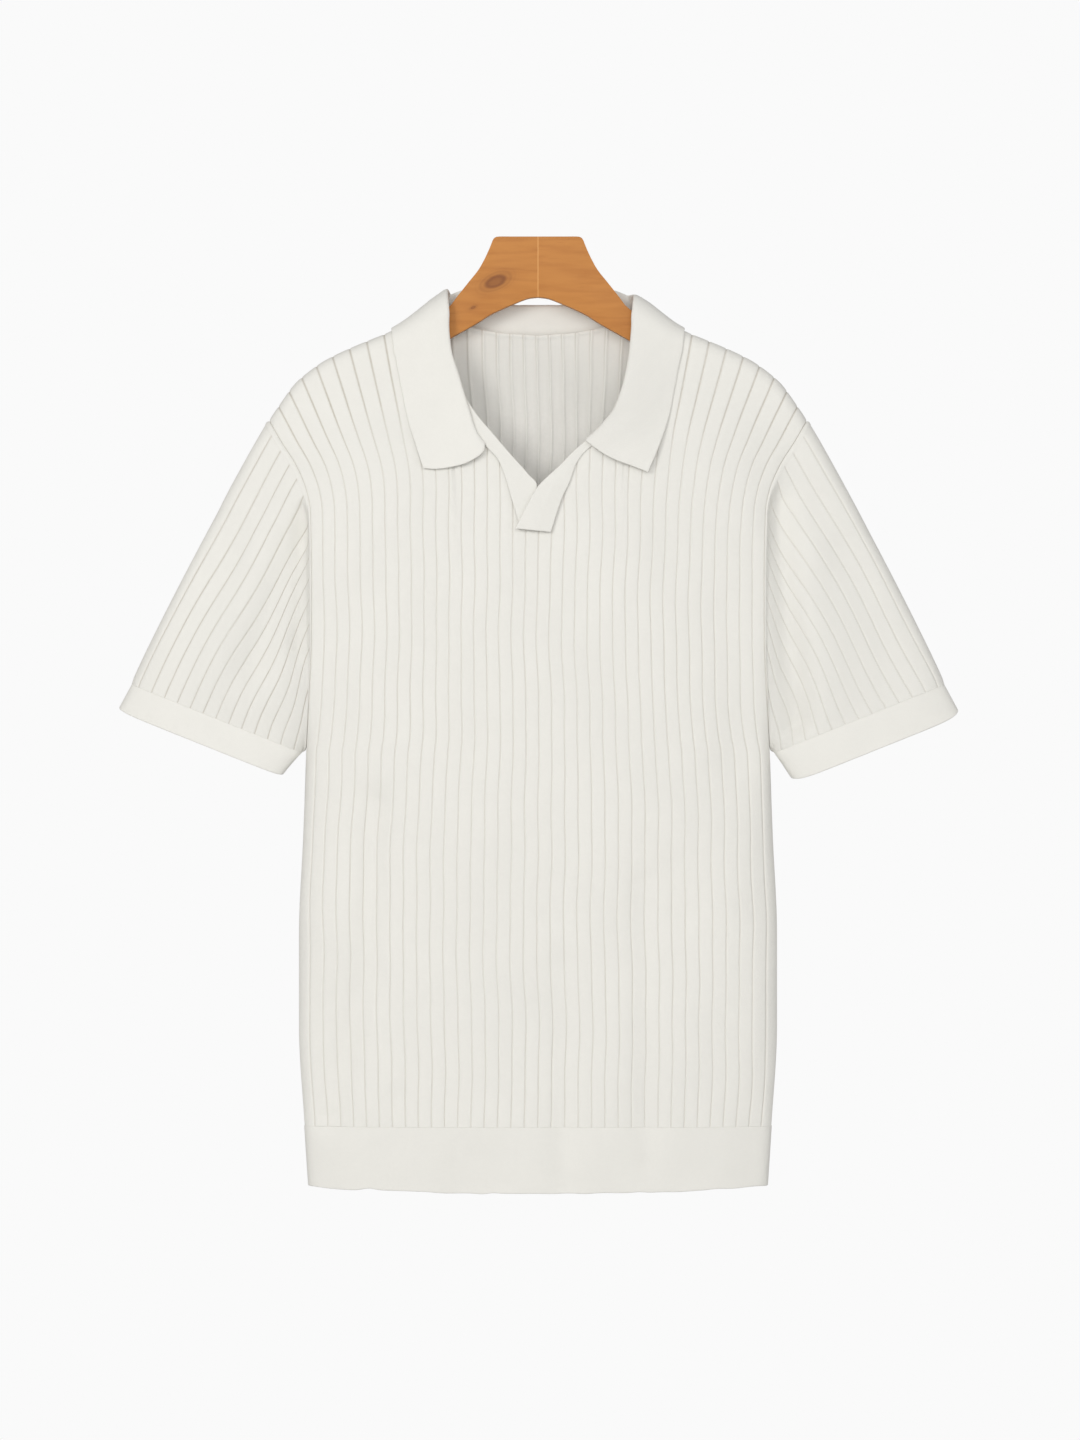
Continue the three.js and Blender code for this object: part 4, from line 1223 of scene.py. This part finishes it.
def add_band(name, node, middle, normal, down, hand, finish):
    """A plain band with rounded edges round its middle surface, a tube."""
    half = bpy.context.scene.polo_knit.wall / MM / 2 + BAND_EXTRA
    sewn, free = BAND_ROUND
    edge = np.minimum(0.8 + 0.2 * rounded(down, sewn), rounded(down[-1] - down, free) + 0.02)
    thick = (half * edge)[..., None]
    flip = np.array([hand, 1, 1])
    outer, inner = (middle + normal * thick) * flip, (middle - normal * thick) * flip
    solid = np.ones(middle.shape[:2])
    cloth = (run_lengths(middle[:1], 1), -down)
    piece = add_wall(name, outer, inner, True, cloth, (solid, solid), finish)
    settle(piece, node)


def build_cuff(name, node, hand, finish):
    """The plain band that ends a sleeve."""
    around, side = round_columns(np.linspace(0, 1, 91))
    down = band_rows(CUFF_HEIGHT[hand] - TOUCH, 12)
    corner = np.abs(2 * around - 1) ** CUFF["power"]
    lift = corner * np.where(around < 0.5, *CUFF_LIFT[hand])
    inset = corner * np.where(around < 0.5, CUFF_INSET[hand], 0)
    start = of_own_side(side, lambda one: sleeve_end[one](around))
    normal = of_own_side(side, lambda one: sleeve_normal(around, np.ones_like(around), one))
    share = down / down[-1]
    reach = TOUCH + down - lift[None, :] * share
    wave = CUFF_WAVE * np.sin(around * 9 + side) * share
    middle = start[None] + reach[..., None] * np.array(CUFF["direction"])
    middle = middle + (inset[None, :] * share)[..., None] * np.array(CUFF["along"])
    middle = middle + normal[None] * (wave - BAND_INSET)[..., None]
    add_band(name, node, middle, normal[None], down, hand, finish)


class POLO_OT_cuffs(bpy.types.Operator):
    """Models the plain bands that end the sleeves"""

    bl_idname = "polo.cuffs"
    bl_label = "Cuffs"

    def execute(self, context):
        finish = knit_finish("plain knit of the cuffs", 1.02)
        build_cuff("shirt_cuff_left", "cuff_left", -1, finish)
        build_cuff("shirt_cuff_right", "cuff_right", 1, finish)
        return {"FINISHED"}


class POLO_OT_hem_band(bpy.types.Operator):
    """Models the plain band round the lower edge"""

    bl_idname = "polo.hem_band"
    bl_label = "Hem band"

    def execute(self, context):
        around, side = round_columns(np.linspace(0, 1, 221))
        share = 2 * around - 1
        down = band_rows(BAND_TOP - BAND_BOTTOM, 14)
        swell = 0.5 * waves(SWELLS, 2 * share * HEM_HALF * side, 0 * share)
        low = BAND_BOTTOM + BAND_LIFT * share**2 + swell
        for dent_x, width, height in HEM_DENTS:
            low = low + height * near(HEM_HALF * share - side * dent_x, width)
        z = BAND_TOP - TOUCH + (low[None, :] - BAND_TOP) * down / down[-1]
        x_top = of_own_side(side, lambda one: rib_x(share, BAND_TOP, one))
        x = x_top[None, :] * panel_half(z) / panel_half(BAND_TOP)
        ends = np.abs(share) == 1
        depth = of_own_side(side, lambda one: hung_depth(x, z, one))
        y = np.where(ends[None, :], 0, side[None, :] * depth)
        middle = point(x, y, z)
        normal = grid_normals(middle, True)
        outward = np.sign((normal * point(x, 3 * y, 0 * z)).sum(-1, keepdims=True))
        normal = normal * outward
        normal[:, ends, 1] = 0
        normal = unit(normal)
        middle = middle - normal * BAND_INSET
        finish = knit_finish("plain knit of the hem band")
        add_band("shirt_hem_band", "hem_band", middle, normal, down, 1, finish)
        return {"FINISHED"}


# Collar and neck strips


def ridge_distance(x, z, side):
    """How far a point of the body lies from the shoulder's ridge, minus to the front."""
    drop = drop_at(x, z)
    turned = np.arccos(1 - np.clip(drop / RIDGE, 0, 1))
    return side * (RIDGE * turned + np.maximum(drop - RIDGE, 0))


def over_shoulder(x, over):
    """A point of the body by its x and its distance over the shoulder's ridge."""
    away = np.abs(over)
    quarter = RIDGE * math.pi / 2
    on_ridge = RIDGE * (1 - np.cos(np.minimum(away, quarter) / RIDGE))
    drop = np.where(away < quarter, on_ridge, RIDGE + away - quarter)
    z = shoulder_height(np.abs(x)) - drop / shoulder_cosine(np.abs(x))
    y = np.where(over < 0, -depth_at(x, z, FRONT), depth_at(x, z, BACK))
    return point(x, y, z)


def off_shoulder(x, over, off):
    """The same, lifted off the cloth."""
    step = 0.5
    across = over_shoulder(x + step, over) - over_shoulder(x - step, over)
    back = over_shoulder(x, over + step) - over_shoulder(x, over - step)
    return over_shoulder(x, over) + unit(np.cross(across, back)) * np.asarray(off, float)[..., None]


def collar_curves(hand):
    """The collar's stations as smooth functions of the way round it, from 0 at its front end."""
    stations = COLLAR_ENDS[hand] + COLLAR_ROUND
    rows = []
    for side, fold_x, fold_z, seam_x, seam_z, edge_x, edge_z in stations:
        upright = min(fold_z, float(shoulder_height(fold_x)) - UPRIGHT_DROP) if side == BACK else fold_z
        fold_over = ridge_distance(fold_x, upright, side)
        seam_over = ridge_distance(seam_x, seam_z, side)
        edge_over = ridge_distance(edge_x, edge_z, side)
        rows.append((fold_x, fold_over, fold_z - upright, seam_x, seam_over, edge_x, edge_over))
    names = ("fold_x", "fold_over", "rise", "seam_x", "seam_over", "edge_x", "edge_over")
    place = np.arange(len(stations))
    return {name: smooth(place, column) for name, column in zip(names, np.array(rows, float).T)}


def collar_row(curves, station, row, hand, lift):
    """One line of the collar's middle surface, from its front end to the middle of the back."""
    leaf, share, extra, off = row
    fold_x, fold_over = curves["fold_x"](station), curves["fold_over"](station)
    to_x = curves["edge_x" if leaf else "seam_x"](station)
    to_over = curves["edge_over" if leaf else "seam_over"](station)
    run_x, run_over = to_x - fold_x, to_over - fold_over
    part = share + extra / np.hypot(run_x, run_over)
    inside = np.clip(part, 0, 1)
    drop = (END_SAG[hand] * ease(inside / STEEP_SHARE) + END_BOW[hand] * inside) * (1 - inside)
    sag = leaf * drop * np.exp(-station * SAG_FADE)
    raised = off + leaf * lift * part**2 * near(station, LIFT_FADE)
    found = off_shoulder(fold_x + run_x * part, fold_over + run_over * part - sag, raised)
    found[..., 2] += curves["rise"](station) * np.maximum(1 - part * (RISE_FADE if leaf else 1), 0)
    return found


def spline_rows(rows, steps):
    """Rows of points joined by smooth curves through them."""
    rows = np.asarray(rows)
    padded = np.concatenate([2 * rows[:1] - rows[1:2], rows, 2 * rows[-1:] - rows[-2:-1]])
    found = []
    for i in range(len(rows) - 1):
        before, start, end, after = padded[i : i + 4]
        for step in range(steps):
            t = step / steps
            bend = 2 * before - 5 * start + 4 * end - after
            twist = 3 * start - before - 3 * end + after
            found.append(0.5 * (2 * start + (end - before) * t + bend * t**2 + twist * t**3))
    return np.array([*found, rows[-1]])


def edge_rows(points, radius):
    """Extra rows close to both ends of a grid, so that its edges can be rounded."""
    run = run_lengths(points, 0)
    length = run[-1].mean()
    shares = run.mean(1) / length
    ends = np.array([0, 0.06, 0.2, 0.45, 0.8]) * radius / length
    clear = ends[-1] * 1.5
    wanted = np.unique(np.concatenate([ends, shares[(shares > clear) & (shares < 1 - clear)], 1 - ends]))
    place = np.interp(wanted, shares, np.arange(len(shares)))
    low = np.minimum(place.astype(int), len(shares) - 2)
    part = (place - low)[:, None, None]
    return points[low] * (1 - part) + points[low + 1] * part


def build_trim(name, node, middle, finish, underside=1.0):
    """A strip of plain knit with rounded edges round its middle surface, whose underside can carry painted
    shade.
    """
    radius = TRIM_WALL / 2
    middle = edge_rows(middle, radius)
    middle = edge_rows(middle.transpose(1, 0, 2), radius).transpose(1, 0, 2)
    normal = grid_normals(middle)
    down, across = run_lengths(middle, 0), run_lengths(middle, 1)
    edge_down = np.minimum(down, down[-1:] - down)
    edge_across = np.minimum(across, across[:, -1:] - across)
    thick = radius * np.minimum(rounded(edge_down, radius), rounded(edge_across, radius)) + 0.02
    outer = middle + normal * thick[..., None]
    inner = middle - normal * thick[..., None]
    solid = np.ones(down.shape)
    piece = add_wall(name, outer, inner, False, (across, down), (solid, underside * solid), finish)
    settle(piece, node)


# How far painted shade tints the collar's underside, making it browner than its face
UNDERSIDE_SHADE = 0.66


class POLO_OT_collar(bpy.types.Operator):
    """Models the collar: a low stand and the leaf that folds over it"""

    bl_idname = "polo.collar"
    bl_label = "Collar"

    def execute(self, context):
        station = np.linspace(0, len(COLLAR_ENDS[1] + COLLAR_ROUND) - 1, 121)
        halves = []
        for hand, lift in END_LIFT.items():
            curves = collar_curves(hand)
            rows = [collar_row(curves, station, row, hand, lift) for row in COLLAR_SECTION]
            grid = spline_rows(rows, 6) * np.array([hand, 1, 1])
            halves.append(grid)
        middle = np.concatenate([halves[0], halves[1][:, -2::-1]], axis=1)
        finish = knit_finish("plain knit of the collar", 1.02)
        build_trim("shirt_collar", "collar", middle, finish, UNDERSIDE_SHADE)
        return {"FINISHED"}


def strip_grid(rows):
    """The middle surface of a strip laid on the front panel."""
    table = np.array(rows, float)
    place = np.arange(len(rows))
    along = np.linspace(0, len(rows) - 1, 61)
    inner_x, inner_z, outer_x, outer_z, off = (smooth(place, column)(along)[:, None] for column in table.T)
    share = np.linspace(0, 1, 17)[None, :]
    x = inner_x + (outer_x - inner_x) * share
    z = inner_z + (outer_z - inner_z) * share
    lifted = off + (TRIM_CLEAR - off) * np.clip(2 * share - 1, 0, 1)
    return off_shoulder(x, ridge_distance(x, z, FRONT), lifted)


class POLO_OT_neck_strips(bpy.types.Operator):
    """Models the two plain strips of the neck opening"""

    bl_idname = "polo.neck_strips"
    bl_label = "Neck strips"

    def execute(self, context):
        finish = knit_finish("plain knit of the neck strips")
        under, over = strip_grid(UNDER_STRIP), strip_grid(OVER_STRIP)
        build_trim("shirt_placket_under", "placket_under", under, finish)
        build_trim("shirt_placket_over", "placket_over", over, finish)
        return {"FINISHED"}


# Hanger


def build_hanger_half(name, node, hand, finish):
    """One half of the hanger: its face is drawn out station by station from past the middle, given its depth
    and rounded edges, and then cut flat where the halves meet."""
    wood = bpy.context.scene.polo_wood
    drawn = spline_rows(HANGER_STATIONS, 3)
    past_middle = drawn[0] - np.array([HANGER_OVERRUN, 0, HANGER_OVERRUN, 0])
    stations = np.concatenate([past_middle[None], drawn]) * MM
    deselect()
    bpy.ops.mesh.primitive_plane_add(size=1.0, rotation=(math.radians(90), 0, 0))
    piece = bpy.context.object
    piece.name = name
    bpy.ops.object.transform_apply(location=True, rotation=True, scale=True)
    for corner in piece.data.vertices:
        top_x, top_z, low_x, low_z = stations[1 if corner.co.x > 0 else 0]
        corner.co = (top_x, 0, top_z) if corner.co.z > 0 else (low_x, 0, low_z)
    bpy.ops.object.mode_set(mode="EDIT")
    bpy.ops.mesh.select_mode(type="EDGE")
    bpy.ops.mesh.select_all(action="DESELECT")
    bpy.ops.object.mode_set(mode="OBJECT")
    for edge in piece.data.edges:
        edge.select = all(piece.data.vertices[i].co.x > -HANGER_OVERRUN / 2 * MM for i in edge.vertices)
    bpy.ops.object.mode_set(mode="EDIT")
    for before, after in zip(stations[1:], stations[2:]):
        rise_before, rise = before[:2] - before[2:], after[:2] - after[2:]
        centre_before, centre = (before[:2] + before[2:]) / 2, (after[:2] + after[2:]) / 2
        step_x, step_z = centre - centre_before
        middle = (centre[0], 0, centre[1])
        bpy.ops.mesh.extrude_region_move(TRANSFORM_OT_translate={"value": (step_x, 0, step_z)})
        taller = np.hypot(*rise) / np.hypot(*rise_before)
        bpy.ops.transform.resize(value=(taller, 1, taller), center_override=middle)
        turn = math.atan2(*rise) - math.atan2(*rise_before)
        bpy.ops.transform.rotate(value=-turn, orient_axis="Y", center_override=middle)
    bpy.ops.mesh.select_all(action="SELECT")
    bpy.ops.mesh.extrude_region_move(TRANSFORM_OT_translate={"value": (0, HANGER_DEPTH * MM, 0)})
    bpy.ops.mesh.select_all(action="SELECT")
    bpy.ops.transform.translate(value=(0, -HANGER_DEPTH / 2 * MM, 0))
    bpy.ops.mesh.normals_make_consistent(inside=False)
    bpy.ops.object.mode_set(mode="OBJECT")
    rounding = piece.modifiers.new("Edges", "BEVEL")
    rounding.width = wood.edge
    rounding.segments = BEVEL_STEPS
    rounding.limit_method = "ANGLE"
    rounding.angle_limit = math.radians(SHARP_ANGLE)
    bpy.ops.object.modifier_apply(modifier=rounding.name)
    bpy.ops.object.mode_set(mode="EDIT")
    bpy.ops.mesh.select_all(action="SELECT")
    bpy.ops.mesh.bisect(plane_co=(TOUCH * MM, 0, 0), plane_no=(1, 0, 0), use_fill=True, clear_inner=True)
    bpy.ops.mesh.select_all(action="SELECT")
    bpy.ops.transform.resize(value=(hand, 1, 1), center_override=(0, 0, 0))
    bpy.ops.mesh.normals_make_consistent(inside=False)
    bpy.ops.object.mode_set(mode="OBJECT")
    bpy.ops.object.shade_smooth_by_angle(angle=math.radians(WOOD_SMOOTH_ANGLE))
    piece.data.materials.append(finish)
    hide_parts(node)
    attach(piece, "root")


class POLO_OT_hanger(bpy.types.Operator):
    """Models the two glued halves of the wooden hanger"""

    bl_idname = "polo.hanger"
    bl_label = "Hanger"

    def execute(self, context):
        slope = math.radians(ARM_SLOPE)
        left = wood_finish("wood of the left half", slope, True)
        build_hanger_half("hanger_left", "hanger_half_left", -1, left)
        right = wood_finish("wood of the right half", -slope, False)
        build_hanger_half("hanger_right", "hanger_half_right", 1, right)
        return {"FINISHED"}


# Stage


FLOOR = {"radius": 2.4, "height": -1.3, "corners": 96}
FLOOR_COLOUR = (0.86, 0.86, 0.855, 1.0)
GLOW_COLOUR = (1.0, 0.995, 0.985, 1.0)
SENSOR = 24.0
AIM = (0, 0, -0.38)
EYE = (0.0016, -0.02, -0.388)
# Soft lights: name, place, size, share of the key light's power and colour
LIGHTS = (
    ("key light", (-1.65, -2.8, 0.55), 1.1, 1.0, (1.0, 0.99, 0.97)),
    ("front light", (0.4, -4.2, 0.75), 2.6, 1.75, (1.0, 1.0, 1.0)),
    ("side light", (2.6, -1.9, 0.1), 1.6, 0.2, (1.0, 1.0, 1.0)),
)


def area_light(name, place, size, power, colour):
    """A round soft light that is turned to the shirt."""
    light = bpy.data.lights.new(name, "AREA")
    light.shape = "DISK"
    light.size = size
    light.energy = power
    light.color = colour
    lamp = bpy.data.objects.new(name, light)
    bpy.context.scene.collection.objects.link(lamp)
    lamp.location = place
    direction = np.array(AIM) - np.array(place)
    turn = math.atan2(direction[0], -direction[1])
    tilt = math.atan2(math.hypot(direction[0], direction[1]), -direction[2])
    lamp.rotation_euler = (tilt, 0, turn + math.pi)


class POLO_OT_stage(bpy.types.Operator):
    """Adds the floor, the soft lights, the pale surround and the camera"""

    bl_idname = "polo.stage"
    bl_label = "Stage"

    def execute(self, context):
        stage = context.scene.polo_stage
        scene = context.scene
        deselect()
        centre = (0, 0, FLOOR["height"])
        bpy.ops.mesh.primitive_circle_add(
            vertices=FLOOR["corners"], radius=FLOOR["radius"], fill_type="NGON", location=centre
        )
        floor = context.object
        floor.name = "floor"
        bpy.ops.object.transform_apply(location=True, rotation=True, scale=True)
        ground = Finish("pale floor")
        ground.shade(base_color=FLOOR_COLOUR, roughness=0.9)
        floor.data.materials.append(ground.material)

        world = bpy.data.worlds.new("surround")
        scene.world = world
        world.use_nodes = True
        tree = world.node_tree
        tree.nodes.clear()
        seen = tree.nodes.new("ShaderNodeBackground")
        seen.inputs["Color"].default_value = (*stage.backdrop, 1.0)
        glow = tree.nodes.new("ShaderNodeBackground")
        glow.inputs["Color"].default_value = GLOW_COLOUR
        glow.inputs["Strength"].default_value = stage.surround
        path = tree.nodes.new("ShaderNodeLightPath")
        choice = tree.nodes.new("ShaderNodeMixShader")
        output = tree.nodes.new("ShaderNodeOutputWorld")
        tree.links.new(path.outputs["Is Camera Ray"], choice.inputs[0])
        tree.links.new(glow.outputs[0], choice.inputs[1])
        tree.links.new(seen.outputs[0], choice.inputs[2])
        tree.links.new(choice.outputs[0], output.inputs[0])

        for name, place, size, share, colour in LIGHTS:
            area_light(name, place, size, stage.key * share, colour)

        camera = bpy.data.cameras.new("camera")
        camera.sensor_fit = "VERTICAL"
        camera.sensor_height = SENSOR
        camera.lens = camera.sensor_height * stage.distance / stage.view_height
        camera.clip_end = 50.0
        eye = bpy.data.objects.new("camera", camera)
        scene.collection.objects.link(eye)
        eye.location = (EYE[0], EYE[1] - stage.distance, EYE[2])
        eye.rotation_euler = (math.radians(90), 0, 0)
        scene.camera = eye
        scene.view_settings.view_transform = "Standard"
        scene.view_settings.look = "None"
        return {"FINISHED"}


class POLO_PT_panel(bpy.types.Panel):
    """Lists the shirt's settings and pieces in the sidebar"""

    bl_label = "Polo shirt"
    bl_idname = "POLO_PT_panel"
    bl_space_type = "VIEW_3D"
    bl_region_type = "UI"
    bl_category = "Polo shirt"

    def draw(self, context):
        layout = self.layout
        for settings in (context.scene.polo_knit, context.scene.polo_wood, context.scene.polo_stage):
            box = layout.box()
            for name in settings.bl_rna.properties.keys():
                if name not in {"rna_type", "name"}:
                    box.prop(settings, name)
        for operator in OPERATORS:
            layout.operator(operator.bl_idname)


OPERATORS = (
    POLO_OT_front,
    POLO_OT_back,
    POLO_OT_sleeves,
    POLO_OT_cuffs,
    POLO_OT_hem_band,
    POLO_OT_collar,
    POLO_OT_neck_strips,
    POLO_OT_hanger,
    POLO_OT_stage,
)
CLASSES = (KnitSettings, WoodSettings, StageSettings, *OPERATORS, POLO_PT_panel)


def register():
    for cls in CLASSES:
        bpy.utils.register_class(cls)
    bpy.types.Scene.polo_knit = bpy.props.PointerProperty(type=KnitSettings)
    bpy.types.Scene.polo_wood = bpy.props.PointerProperty(type=WoodSettings)
    bpy.types.Scene.polo_stage = bpy.props.PointerProperty(type=StageSettings)


def unregister():
    del bpy.types.Scene.polo_stage
    del bpy.types.Scene.polo_wood
    del bpy.types.Scene.polo_knit
    for cls in reversed(CLASSES):
        bpy.utils.unregister_class(cls)


def main():
    register()
    bpy.ops.polo.front()
    bpy.ops.polo.back()
    bpy.ops.polo.sleeves()
    bpy.ops.polo.cuffs()
    bpy.ops.polo.hem_band()
    bpy.ops.polo.collar()
    bpy.ops.polo.neck_strips()
    bpy.ops.polo.hanger()
    bpy.ops.polo.stage()
    bpy.context.view_layer.update()


if __name__ == "__main__":
    main()
